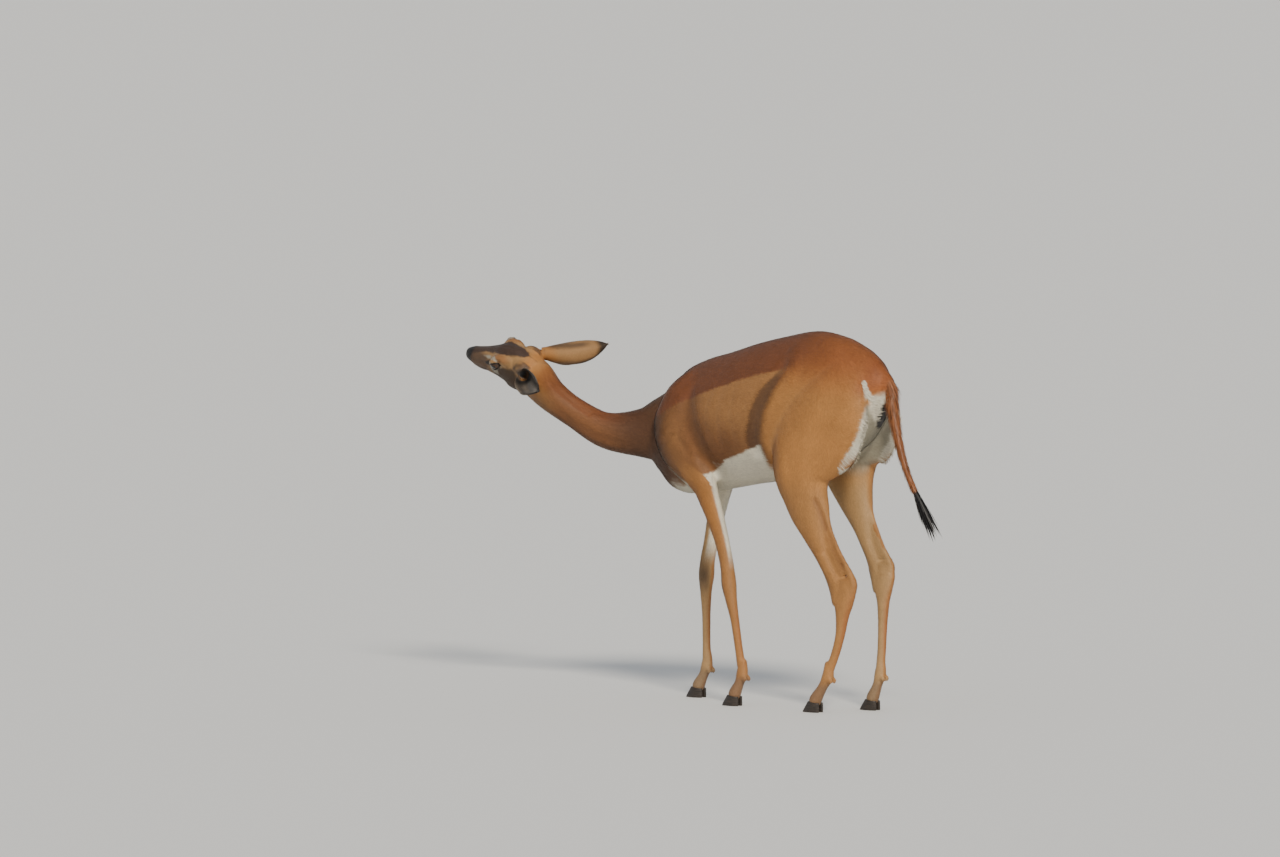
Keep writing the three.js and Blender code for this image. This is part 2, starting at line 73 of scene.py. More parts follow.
head = {"place": arr(-826, -139, 896), "muzzle": arr(-0.985, -0.04, 0.17),
        "crown": arr(0.156, -0.637, 0.755)}
muzzleWay = unit(head["muzzle"])
crownWay = unit(head["crown"] - muzzleWay * head["crown"].dot(muzzleWay))
headAxes = np.stack([muzzleWay, np.cross(crownWay, muzzleWay), crownWay])

eyes = {"radius": 15.5, "apart": 76, "forward": 10, "above": 1}


def fromHead(points):
    return np.asarray(points, float) @ headAxes + head["place"]


def inHead(points):
    return (points - head["place"]) @ headAxes.T


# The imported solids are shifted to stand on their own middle: the eyes say by how much

eyeBoxes = [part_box(name) for name in ("eye_left", "eye_right")]
eyesMiddle = np.mean([np.array(corner) for pair in eyeBoxes for corner in pair], axis=0) * 1000
shift = eyesMiddle - fromHead([eyes["forward"], 0, eyes["above"]])
shift[2] = 0


def toWorld(points):
    return (np.asarray(points, float) + shift) / 1000


def fromWorld(points):
    return np.asarray(points, float) * 1000 - shift


# Lofts: rounded forms along a smooth line through their stations

def smoothLine(points, steps, even=False):
    points = np.asarray(points, float)
    padded = np.vstack([2 * points[0] - points[1], points, 2 * points[-1] - points[-2]])
    spots, ways = [], []
    for k in range(len(points) - 1):
        a, b, c, d = padded[k:k + 4]
        if even:
            start, end = (c - a) / 2, (d - b) / 2
        else:
            gaps = [max(np.linalg.norm(q - p), 1e-8) ** 0.5 for p, q in ((a, b), (b, c), (c, d))]
            start = ((b - a) / gaps[0] - (c - a) / (gaps[0] + gaps[1]) + (c - b) / gaps[1]) * gaps[1]
            end = ((c - b) / gaps[1] - (d - b) / (gaps[1] + gaps[2]) + (d - c) / gaps[2]) * gaps[1]
        t = np.arange(steps + (k == len(points) - 2))[:, None] / steps
        square, cube = -3 * b + 3 * c - 2 * start - end, 2 * b - 2 * c + start + end
        spots.append(b + t * start + t ** 2 * square + t ** 3 * cube)
        ways.append(start + 2 * t * square + 3 * t ** 2 * cube)
    return np.vstack(spots), unit(np.vstack(ways))


def ringFaces(rings, count):
    faces = []
    for ring in range(rings - 1):
        for k in range(count):
            a, b = ring * count + k, ring * count + (k + 1) % count
            faces.append((a, b, b + count, a + count))
    return faces


def loft(stations, sides=40, steps=6, up=(0, 0, 1), facing=None, ends=(0.6, 0.6), grow=0.0, edges=(0, 0)):
    table = np.array([(*s, s[4]) if len(s) == 5 else s for s in stations], float)
    line, ways = smoothLine(table[:, :3], steps)
    girths = smoothLine(table[:, 3:6], steps, even=True)[0]
    corners = smoothLine(np.broadcast_to(np.array(edges, float), (len(table), 2)), steps, even=True)[0]
    angles = 2 * math.pi * (np.arange(sides) + 0.5) / sides
    cosine, sine = np.cos(angles), np.sin(angles)
    caps = np.sin(np.radians([82, 68, 52, 34, 17]))
    order = [(0, math.sqrt(1 - q * q), -q * ends[0]) for q in caps]
    order += [(k, 1, 0) for k in range(len(line))]
    order += [(len(line) - 1, math.sqrt(1 - q * q), q * ends[1]) for q in caps[::-1]]
    rings = []
    for k, shrink, push in order:
        ahead = np.array(facing, float) if facing else ways[k]
        side = unit(np.cross(ahead, np.array(up, float)))
        rise = np.cross(side, ahead)
        wide, tall, low = girths[k]
        narrow = 1 - np.where(sine > 0, corners[k][0], corners[k][1]) * sine ** 2
        out = (wide * narrow + grow) * shrink * cosine
        high = (np.where(sine > 0, tall, low) + grow) * shrink * sine
        middle = line[k] + ahead * push * (min(wide, tall) + grow)
        rings.append(middle + out[:, None] * side + high[:, None] * rise)
    faces = ringFaces(len(rings), sides)
    return closed(rings, faces, sides)


def closed(rings, faces, sides):  # adds a point and a fan of faces at each end
    points = np.vstack([*rings, [rings[0].mean(0)], [rings[-1].mean(0)]])
    first, last = len(points) - 2, len(points) - 1
    start = (len(rings) - 1) * sides
    for k in range(sides):
        faces.append((first, (k + 1) % sides, k))
        faces.append((last, start + k, start + (k + 1) % sides))
    return points, faces


def egg(place, radii, turn=0.0, sides=28, rows=18):  # turn is about the cross axis, in degrees
    points = [(0, 0, 1.0)]
    for row in range(1, rows):
        polar = math.pi * row / rows
        for k in range(sides):
            around = 2 * math.pi * k / sides
            ring = math.sin(polar)
            points.append((ring * math.cos(around), ring * math.sin(around), math.cos(polar)))
    points.append((0, 0, -1.0))
    points = np.array(points) * np.array(radii, float)
    c, s = math.cos(math.radians(turn)), math.sin(math.radians(turn))
    points = points @ np.array([[c, 0, -s], [0, 1, 0], [s, 0, c]]) + np.array(place, float)
    faces = [(0, 1 + k, 1 + (k + 1) % sides) for k in range(sides)]
    faces += [tuple(v + 1 for v in face) for face in ringFaces(rows - 1, sides)]
    last, base = len(points) - 1, 1 + (rows - 2) * sides
    faces += [(last, base + (k + 1) % sides, base + k) for k in range(sides)]
    return points, faces


# Forms of the body, as the solids have them

trunk = {"coat": 1.6, "rows": [  # x, top, low, half width
    (318, 890, 792, 30), (300, 918, 748, 54), (262, 946, 700, 78), (200, 973, 656, 95),
    (110, 988, 622, 103), (10, 973, 594, 113), (-90, 949, 578, 117), (-180, 922, 561, 112),
    (-262, 900, 547, 97), (-326, 870, 543, 80), (-374, 814, 558, 66), (-412, 764, 596, 50)]}
neck = {"coat": 1.4, "rows": [
    (-346, 0, 718, 54, 108), (-404, -4, 706, 52, 91), (-462, -26, 698, 46, 66), (-544, -72, 704, 41, 49),
    (-620, -106, 748, 39, 41), (-684, -131, 796, 43, 45)],
    "throat": [(-86, 10, -46, 45, 51, 57), (-52, 0, -34, 34, 38)]}
skull = {"coat": 0.7, "rows": [
    (-106, -4, -66, 26), (-90, 15, -86, 38), (-58, 28, -101, 45), (-25, 34, -101, 47), (6, 31, -95, 44),
    (34, 20, -88, 36), (64, 9, -80, 30), (94, 0, -71, 26), (118, -6, -62, 23), (136, -14, -52, 17)]}
legs = {"coat": 1.0, "chains": {
    "hindLeft": (-1, (186, -71, 97), (146, -70, 34), [
        [(206, 34, 905, 52, 34), (202, 56, 850, 96, 48), (184, 68, 790, 128, 54), (148, 76, 716, 140, 52),
         (122, 81, 655, 113, 48), (113, 83, 610, 88, 43), (120, 82, 562, 69, 37), (132, 81, 514, 55, 31),
         (149, 80, 470, 38, 25), (168, 78, 424, 21, 19)],
        [(98, 81, 545, 30, 32), (116, 80, 500, 28, 28), (140, 78, 458, 24, 23), (170, 76, 412, 21, 19),
         (197, 74, 367, 21, 18), (217, 73, 330, 25, 19), (226, 72, 290, 24, 18)],
        [(160, 80, 600, 22, 22), (178, 79, 545, 15, 15), (190, 79, 500, 9, 10), (206, 77, 456, 8, 8),
         (232, 75, 408, 8, 7.5), (256, 73, 368, 10, 9), (267, 72, 342, 12, 12), (263, 72, 318, 13, 12)],
        [(158, 79, 520, 34, 18), (174, 78, 468, 32, 11), (202, 75, 410, 32, 8), (232, 73, 360, 28, 9)],
        [(238, 72, 352, 30, 14), (239, 72, 322, 36, 19), (237, 72, 290, 30, 19), (233, 72, 255, 20, 15.5),
         (226, 72, 205, 14.5, 12), (208, 71, 150, 13, 11.5), (192, 71, 115, 13.5, 12)]]),
    "hindRight": (1, (252, 68, 97), (229, 67, 34), [
        [(206, 34, 905, 52, 34), (202, 56, 850, 96, 48), (186, 68, 790, 126, 54), (156, 76, 716, 130, 52),
         (138, 81, 655, 104, 48), (142, 83, 610, 79, 42), (156, 82, 562, 59, 35), (174, 80, 516, 44, 28),
         (188, 78, 480, 32, 23), (205, 76, 436, 20, 19)],
        [(136, 81, 570, 30, 30), (158, 80, 525, 26, 26), (182, 77, 478, 23, 22), (206, 75, 432, 21, 19),
         (226, 73, 395, 21, 18), (240, 72, 360, 24, 19), (250, 71, 315, 22, 18)],
        [(182, 80, 625, 22, 20), (195, 80, 580, 15, 14), (204, 79, 535, 9, 10), (219, 77, 490, 8, 8),
         (243, 75, 442, 8, 7.5), (268, 73, 402, 10, 9), (281, 72, 378, 12, 12), (278, 71, 354, 13, 12)],
        [(178, 79, 550, 32, 17), (196, 78, 500, 30, 11), (222, 75, 444, 30, 8), (250, 73, 396, 27, 9)],
        [(256, 72, 386, 28, 14), (259, 72, 356, 35, 19), (259, 71, 322, 29, 19), (259, 71, 285, 19, 15.5),
         (258, 70, 230, 14.5, 12), (256, 69, 165, 13, 11.5), (253, 68, 118, 13.5, 12)]]),
    "foreLeft": (-1, (-100, -63, 86), (-124, -62, 34), [
        [(-284, 38, 862, 20, 12), (-302, 55, 820, 42, 22), (-317, 66, 774, 54, 28), (-322, 72, 725, 62, 33),
         (-302, 74, 672, 62, 34),
         (-256, 75, 622, 52, 32), (-218, 74, 578, 38, 28), (-201, 71, 535, 31, 24), (-183, 69, 488, 26, 21),
         (-162, 67, 425, 21, 17.5), (-147, 66, 362, 19.5, 17.5), (-142, 65, 318, 21, 19.5),
         (-135, 65, 280, 17, 16), (-124, 64, 228, 13, 12), (-110, 64, 150, 12, 11),
         (-103, 63, 108, 13, 12)]]),
    "foreRight": (1, (-311, 60, 86), (-337, 60, 34), [
        [(-284, 38, 862, 20, 12), (-304, 55, 820, 42, 22), (-320, 66, 774, 54, 28), (-328, 72, 725, 62, 33),
         (-318, 74, 672, 60, 34),
         (-292, 75, 622, 50, 32), (-274, 74, 578, 38, 28), (-278, 71, 535, 31, 24), (-286, 68, 488, 26, 21),
         (-298, 65, 425, 22, 17.5), (-310, 62, 365, 21, 18), (-313, 61, 325, 22, 20),
         (-314, 60, 285, 17, 16), (-313, 60, 228, 13, 12), (-312, 60, 150, 12, 11),
         (-311, 60, 108, 13, 12)]])}}
dock = {"coat": 0.8, "rows": [
    (298, 0, 894, 18, 15), (325, 0, 862, 19, 15), (337, 0, 808, 16, 12.5), (351, 0, 744, 11.5, 9.5),
    (367, 0, 686, 8.5, 7.5), (388, 0, 630, 7, 6), (414, 0, 580, 8, 7), (434, 0, 548, 7, 6.5)]}
spines = []  # part, points, ways of the lie and radii, for markings, lie of the coat and unwrap


def addSpine(part, line, girth, reverse=False):
    spots, ways = smoothLine(line, 4)
    sizes = smoothLine(np.array(girth, float)[:, None], 4, even=True)[0][:, 0]
    spines.append((part, spots, -ways if reverse else ways, np.maximum(sizes, 4)))


def bodyForms():
    forms = []
    rows = [(x, 0, (top + low) / 2, wide, (top - low) / 2) for x, top, low, wide in trunk["rows"]]
    forms.append(loft(rows, 64, 6, facing=(-1, 0, 0), ends=(0.7, 0.5), grow=-trunk["coat"],
                      edges=(0.18, 0.12)))
    addSpine("trunk", [r[:3] for r in rows], [r[4] for r in rows], reverse=True)
    rows = neck["rows"] + [(*fromHead(r[:3]), *r[3:]) for r in neck["throat"]]
    forms.append(loft(rows, 48, 6, ends=(0.2, 0.3), grow=-neck["coat"]))
    addSpine("neck", [r[:3] for r in rows[1:]], [r[4] for r in rows[1:]], reverse=True)
    forms += headForms()
    for name, (side, fetlock, coronet, chains) in legs["chains"].items():
        foot = footForms(fetlock, coronet)
        for chain in chains:
            rows = [(x, side * y, z, wide, deep) for x, y, z, deep, wide in chain]
            forms.append(loft(rows, 32, 6, up=(-1, 0, 0), ends=(0.5, 0.3), grow=-legs["coat"]))
        forms += foot
        line = [(x, side * y, z) for x, y, z, deep, wide in legLine(chains)] + [fetlock, coronet]
        girth = [(deep + wide) / 2 for x, y, z, deep, wide in legLine(chains)] + [15, 17]
        addSpine(name, line, girth)
    forms.append(loft(dock["rows"], 24, 6, up=(1, 0, 0), ends=(0.4, 0.8), grow=-dock["coat"]))
    addSpine("tail", [r[:3] for r in dock["rows"]], [r[3] for r in dock["rows"]])
    return forms


def legLine(chains):
    if len(chains) == 1:
        return chains[0]
    return chains[0][:-3] + chains[1][2:-2] + chains[-1][1:]


def footForms(fetlock, coronet):
    (fx, fy, fz), (cx, cy, cz) = fetlock, coronet
    rows = [(fx + 3, fy, fz + 34, 10.5, 11.5), (fx, fy, fz, 14.5, 16.5),
            ((fx + cx) / 2 + 3, (fy + cy) / 2, (fz + cz) / 2 + 2, 14, 13), (cx, cy, cz, 18, 17),
            (cx - 4, cy, cz - 12, 16, 15)]
    forms = [loft(rows, 28, 6, up=(-1, 0, 0), ends=(0.5, 0.3), grow=-0.6)]
    for way in (-1, 1):
        forms.append(egg((fx + 14, fy + way * 9, fz - 12), (7.5, 4.2, 8.5), -25, 16, 10))
    return forms


def headForms():
    rows = [(x, 0, (top + low) / 2, wide, (top - low) / 2) for x, top, low, wide in skull["rows"]]
    forms = [loft(rows, 56, 6, facing=(1, 0, 0), ends=(0.5, 0.45), grow=-skull["coat"],
                  edges=[(0.1, 0.3 if r[0] > 20 else 0.14) for r in rows])]
    addSpine("head", fromHead([r[:3] for r in rows]), [r[3] for r in rows], reverse=True)
    forms.append(egg((116, 0, -34), (17, 21, 14.5)))
    forms.append(egg((96, 0, -65), (41.5, 14.5, 11.5), -8))
    for side in (-1, 1):
        forms.append(egg((-33, side * 26, -55), (46.5, 22.5, 38.5)))
        forms.append(egg((-66, side * 27, -4), (30, 20, 25)))
        forms.append(egg((-10, side * 31, 9), (32, 16.5, 18.5)))
        forms.append(egg((-3, side * 32, -8), (33, 14, 20)))
        forms.append(egg((eyes["forward"], side * (eyes["apart"] / 2 - 1), eyes["above"]), (18.5, 16, 18)))
    return [(fromHead(points), faces) for points, faces in forms]


# Ears: leaves of skin rolled into a tube at the root

ear = {"length": 177, "root": (-83, 42, -10), "widest": 31.5, "tube": 13.5, "skin": 2.4, "bow": 9,
       "ways": {-1: ((-0.78, -0.58, -0.14), (0.50, -0.37, -0.76)),
                1: ((-0.72, 0.52, 0.38), (0.54, 0.21, 0.72))}}


def earWays(side):
    pointing, opening = ear["ways"][side]
    along = unit(arr(*pointing))
    opened = arr(*opening)
    opened = unit(opened - opened.dot(along) * along)
    return along, np.cross(opened, along), opened


def earRoot(side):
    return arr(ear["root"][0], side * ear["root"][1], ear["root"][2])


def earHalf(u):  # half width of the ear at a share u of its length
    spread = smooth(-0.12, 0.42, u)
    leaf = np.where(u < 0.52, 1, np.clip(1 - (np.clip(u - 0.52, 0, 1) / 0.48) ** 2.1, 0, 1) ** 0.85)
    return np.maximum((ear["tube"] + (ear["widest"] - ear["tube"]) * spread) * leaf, 1.8)


def earForms(side):
    root = earRoot(side)
    along, across, opened = earWays(side)
    rings, spots = [], 34
    levels = np.linspace(0, 1, 74)
    for u in levels:
        roll = math.radians(150 - 88 * min(1, u / 0.45))
        half = float(earHalf(u))
        curve = half / math.sin(min(roll, math.pi / 2))
        middle = root + along * ear["length"] * u + opened * (curve - ear["tube"] + 6 * u * u)
        middle = middle - across * side * ear["bow"] * math.sin(math.pi * u)
        angles = roll * (2 * np.arange(spots) / (spots - 1) - 1)
        inner = curve - min(ear["skin"], half * 0.5)
        folds = 0.7 * smooth(0.12, 0.3, u) * (1 - smooth(0.75, 0.95, u))
        folds = folds * np.cos(angles / roll * 3.2 * math.pi)
        outside = middle + curve * (np.sin(angles)[:, None] * across - np.cos(angles)[:, None] * opened)
        radii = (inner - folds)[:, None]
        inside = middle + radii * (np.sin(angles)[:, None] * across - np.cos(angles)[:, None] * opened)
        rings.append(np.vstack([outside, inside[::-1]]))
    count = 2 * spots
    faces = ringFaces(len(rings), count)
    last = (len(rings) - 1) * count
    for k in range(spots - 1):
        faces.append((k, count - 1 - k, count - 2 - k, k + 1))
        faces.append((last + k + 1, last + count - 2 - k, last + count - 1 - k, last + k))
    bulb, bulbFaces = egg((0, 0, 0), (16, ear["tube"] - 1, ear["tube"] - 1))
    bulb = (bulb - [8, 0, 0]) @ np.stack([along, across, opened]) + root
    return [(fromHead(np.vstack(rings)), faces), (fromHead(bulb), bulbFaces)]


# Mesh work

def newObject(name, points, faces):
    mesh = bpy.data.meshes.new(name)
    mesh.from_pydata([tuple(p) for p in points], [], faces)
    mesh.update()
    made = bpy.data.objects.new(name, mesh)
    bpy.context.scene.collection.objects.link(made)
    return made


def joined(forms):
    points, faces, base = [], [], 0
    for spots, polygons in forms:
        points.append(spots)
        faces += [tuple(v + base for v in polygon) for polygon in polygons]
        base += len(spots)
    return np.vstack(points), faces


def faceOut(made):  # turns the faces outwards
    work = bmesh.new()
    work.from_mesh(made.data)
    bmesh.ops.recalc_face_normals(work, faces=work.faces)
    work.to_mesh(made.data)
    work.free()


def settle(made):  # applies the modifiers
    graph = bpy.context.evaluated_depsgraph_get()
    mesh = bpy.data.meshes.new_from_object(made.evaluated_get(graph))
    made.modifiers.clear()
    made.data = mesh


def spotsOf(made):
    values = np.zeros(len(made.data.vertices) * 3, np.float32)
    made.data.vertices.foreach_get("co", values)
    return fromWorld(values.reshape(-1, 3))


def setSpots(made, points):
    made.data.vertices.foreach_set("co", toWorld(points).astype(np.float32).ravel())
    made.data.update()


def normalsOf(made):
    values = np.zeros(len(made.data.vertices) * 3, np.float32)
    made.data.vertices.foreach_get("normal", values)
    return values.reshape(-1, 3).astype(float)


def relax(made, times, weight):  # evens the surface where weight is above 0
    edges = np.zeros(len(made.data.edges) * 2, np.int32)
    made.data.edges.foreach_get("vertices", edges)
    a, b = edges[0::2], edges[1::2]
    points = spotsOf(made)
    count = np.maximum(np.bincount(a, minlength=len(points)) + np.bincount(b, minlength=len(points)), 1)
    for _ in range(times):
        sums = [np.bincount(a, points[b, k], len(points)) + np.bincount(b, points[a, k], len(points))
                for k in range(3)]
        total = np.stack(sums, axis=1)
        points = points + (total / count[:, None] - points) * weight[:, None]
    setSpots(made, points)


def refine(made, chosen):  # splits the faces whose middles are chosen
    work = bmesh.new()
    work.from_mesh(made.data)
    work.faces.ensure_lookup_table()
    middles = fromWorld(np.array([face.calc_center_median() for face in work.faces]))
    picked = np.nonzero(chosen(middles))[0]
    edges = {edge for k in picked for edge in work.faces[k].edges}
    bmesh.ops.subdivide_edges(work, edges=list(edges), cuts=1, use_grid_fill=True)
    bmesh.ops.triangulate(work, faces=[face for face in work.faces if len(face.verts) > 4])
    work.to_mesh(made.data)
    work.free()
    made.data.update()


# The nearest length of body to each point: which part, how far along, the lie there and the angle round it

def nearestSpine(points, parts=None):
    best = np.full(len(points), 1e9)
    which = np.zeros(len(points), int)
    along = np.zeros(len(points))
    lie = np.zeros((len(points), 3))
    flat = np.zeros((len(points), 3))
    for k, (part, spots, ways, sizes) in enumerate(spines):
        if parts and part not in parts:
            continue
        lengths = np.concatenate([[0], np.cumsum(np.linalg.norm(np.diff(spots, axis=0), axis=1))])
        for j in range(len(spots)):
            offset = points - spots[j]
            distance = np.linalg.norm(offset, axis=1) / sizes[j]
            closer = distance < best
            onward = 1 if ways[j].dot(spots[-1] - spots[0]) > 0 else -1
            best[closer] = distance[closer]
            which[closer] = k
            along[closer] = lengths[j] + (offset[closer] @ ways[j]) * onward
            lie[closer] = ways[j]
            flat[closer] = offset[closer]
    return which, along, lie, flat


def lieOfCoat(points, normals):  # back along the body, down the legs, turning smoothly
    total = np.zeros((len(points), 3))
    for _, spots, ways, sizes in spines:
        for j in range(0, len(spots), 2):
            near = np.exp(-((np.linalg.norm(points - spots[j], axis=1) / (sizes[j] * 0.62 + 8)) ** 2))
            total += near[:, None] * ways[j]
    sides = np.abs(normals[:, 1]) * smooth(560, 640, points[:, 2]) * smooth(-520, -380, points[:, 0])
    total = unit(total) + sides[:, None] * arr(0, 0, -0.32)
    joint = smooth(-380, -430, points[:, 0]) * smooth(-560, -470, points[:, 0])
    total += joint[:, None] * arr(0.1, 0, -0.4)
    return unit(total - (total * normals).sum(1)[:, None] * normals)


# Lines on the body, seen from her side: x and z of a few points, and the crease's half width and depth

def lineDistance(points, line):
    line = np.asarray(line, float)
    best = np.full(len(points), 1e9)
    for start, end in zip(line[:-1], line[1:]):
        way = end - start
        t = np.clip(((points - start) @ way) / way.dot(way), 0, 1)
        best = np.minimum(best, np.linalg.norm(points - start - t[:, None] * way, axis=1))
    return best


creases = [  # which sides, points, half width, depth
    ((-1, 1), [(-268, 800), (-246, 738), (-214, 672), (-186, 618)], 36, 5.0),  # behind the shoulder
    ((-1, 1), [(-352, 800), (-366, 735), (-350, 675)], 34, 1.2),  # in front of the shoulder
    ((-1, 1), [(-290, 700), (-262, 668), (-226, 640)], 16, 1.8),  # under the shoulder's long muscle
    ((-1, 1), [(40, 896), (6, 838), (-20, 780), (-36, 715), (-34, 672)], 26, 4.2),  # flank before the thigh
    ((-1, 1), [(-180, 830), (-196, 770), (-186, 700)], 16, 0.6),
    ((-1, 1), [(-140, 838), (-156, 770), (-144, 690)], 16, 0.7),
    ((-1, 1), [(-98, 846), (-112, 770), (-98, 700)], 16, 0.6),
    ((-1, 1), [(232, 880), (214, 800), (190, 720), (176, 640), (176, 590)], 38, 1.6),  # seam of the haunch
    ((-1,), [(168, 560), (186, 500), (206, 440), (236, 388)], 8, 1.6),
    ((1,), [(186, 590), (206, 530), (222, 470), (250, 420)], 8, 1.6),
]
ridges = [
    ((-1, 1), [(-268, 850), (-300, 800), (-330, 730), (-350, 690)], 22, 1.8),  # spine of the shoulder blade
    ((-1, 1), [(-234, 640), (-250, 668), (-276, 712)], 18, 2.0),
    ((-1, 1), [(150, 958), (186, 930), (226, 902)], 30, 1.8),  # hip to pin bone
    ((-1, 1), [(66, 930), (80, 900), (78, 868)], 28, 2.4),  # point of the hip
    ((-1, 1), [(60, 700), (70, 650), (78, 610)], 30, 2.0),  # knee
]


def bodyRelief(points, normals):
    push = np.zeros(len(points))
    plane = points[:, [0, 2]]
    for table, sign in ((creases, -1), (ridges, 1)):
        for sides, line, reach, depth in table:
            away = lineDistance(plane, line)
            for side in sides:
                facing = smooth(0.15, 0.55, side * normals[:, 1]) * (side * points[:, 1] > 18)
                push += sign * depth * mound(away, reach) * facing
    return points + normals * push[:, None]


neckFolds = [  # seen from her left, on the near side of the neck
    ([(-700, 872), (-683, 851), (-646, 815), (-604, 776), (-570, 752)], 9, 2.2),
    ([(-556, 758), (-538, 751), (-512, 742), (-485, 733)], 9, 2.6),
    ([(-660, 776), (-612, 728), (-560, 696), (-500, 676)], 16, 1.6),
]


def neckRelief(points, normals):
    push = np.zeros(len(points))
    for line, reach, depth in neckFolds:
        away = lineDistance(points[:, [0, 2]], line)
        for side in (-1, 1):
            push -= depth * mound(away, reach) * smooth(0.1, 0.5, side * normals[:, 1])
    reach = smooth(-735, -690, points[:, 0]) * (1 - smooth(-470, -430, points[:, 0]))
    return points + normals * (push * reach)[:, None]


# The head's own relief, in its frame: lids, brows, glands, nostrils, lips and jaw

face = {"lidThick": 1.9, "corners": ((-17, 2.5), (16, -5.5)), "upper": 10.5, "lower": 7.0}
nostril = [(130, 6, -34), (128.5, 9, -30), (124, 12.5, -25), (118, 15.5, -23)]
paleStreak = [(66, 20, -3), (47, 23, 0), (30, 31, 9), (12, 39, 20), (-3, 46, 17)]
paleHalf = [(-6, 2.5), (14, 5.5), (42, 5), (66, 1.5)]
bandHalf = [(-82, 0), (-72, 10), (-55, 16), (-39, 19), (-19, 24), (-3, 26), (20, 18), (60, 11), (100, 12),
            (130, 11)]
glandLine = [(28, -5), (42, -12), (56, -20)]
earRimLine = [(-52, 2), (-62, 14), (-82, 16), (-96, 4)]
lipLine = [(66, -45), (84, -50.5), (104, -54.5), (122, -55), (136, -52), (146, -49)]


def lidOpening(a, b):  # above 0 inside the opening, in millimetres on the eyeball
    (backA, backB), (frontA, frontB) = face["corners"]
    t = np.clip((a - backA) / (frontA - backA), 0, 1)
    middle = backB + (frontB - backB) * t
    arch = np.maximum(4 * t * (1 - t), 0) ** 0.62
    inside = np.minimum(middle + face["upper"] * arch - b, b - middle + face["lower"] * arch)
    beyond = np.maximum(backA - a, a - frontA)
    return np.where(beyond > 0, -np.hypot(beyond, b - middle), inside)


def headRelief(points, normals):
    p = inHead(points)
    n = normals @ headAxes.T
    push = np.zeros(len(p))
    side = np.sign(p[:, 1])
    out = np.abs(p[:, 1])
    mirrored = np.stack([p[:, 0], out, p[:, 2]], axis=1)

    def near(spot, reach):
        return mound(np.linalg.norm((mirrored - np.array(spot, float)) / np.array(reach, float), axis=1), 1)

    push += 1.8 * near((-6, 44, 20), (28, 12, 8))  # brow
    push -= 2.4 * near((37, 35, -12), (12, 9, 6))  # gland before the eye
    push += 1.0 * near((38, 34, -4), (14, 8, 5))
    push -= 1.6 * near((64, 30, -26), (30, 12, 12))  # hollow of the cheek
    push += 1.6 * near((24, 41, -32), (32, 12, 7))  # cheekbone
    push += 1.4 * near((-40, 47, -56), (30, 14, 26))  # jaw muscle
    push -= 1.2 * near((4, 40, -62), (18, 12, 18))
    push -= 1.2 * near((-12, 0, 34), (40, 7, 10))  # furrow of the brow
    push += 1.2 * near((-50, 14, 30), (22, 14, 12))  # crown
    push -= 1.6 * near((-44, 40, 10), (14, 12, 14))  # dip between brow and ear
    slit = lineDistance(mirrored, nostril)
    push -= 5.0 * mound(slit, 3.6)
    push += 1.3 * mound(np.abs(slit - 5.2), 2.6) * smooth(0, 1, out)
    push -= 1.4 * mound(out, 2.4) * smooth(124, 130, p[:, 0]) * smooth(-50, -46, p[:, 2]) * (p[:, 2] < -22)
    lips = lineDistance(p[:, [0, 2]], lipLine)
    mouth = smooth(62, 74, p[:, 0]) * smooth(0.1, 0.5, np.abs(n[:, 1]) + np.maximum(n[:, 0], 0))
    push -= 3.4 * mound(lips, 2.6) * mouth
    push += 1.0 * mound(np.abs(lips - 5), 3.4) * mouth
    q = p + n * push[:, None]
    level = np.ones(len(q))
    centre = np.stack([eyes["forward"] * level, side * eyes["apart"] / 2, eyes["above"] * level], 1)
    offset = q - centre
    distance = np.linalg.norm(offset, axis=1)
    way = offset / np.maximum(distance, 1e-6)[:, None]
    a, b = way[:, 0] * eyes["radius"], way[:, 2] * eyes["radius"]
    opening = lidOpening(a, b)
    outward = smooth(0.05, 0.35, way[:, 1] * side)
    rim = face["lidThick"] + 0.7 * mound(opening + 1.2, 2.2) + 0.5 * mound(opening + 6.5, 2.0)
    open_ = smooth(-0.7, 0.7, opening)
    radius = eyes["radius"] + rim * (1 - open_) - 3.0 * open_
    hold = outward * smooth(-13, -5, opening) * (distance < 34)
    q = centre + way * (distance + (radius - distance) * hold)[:, None]
    return fromHead(q)


# The skin

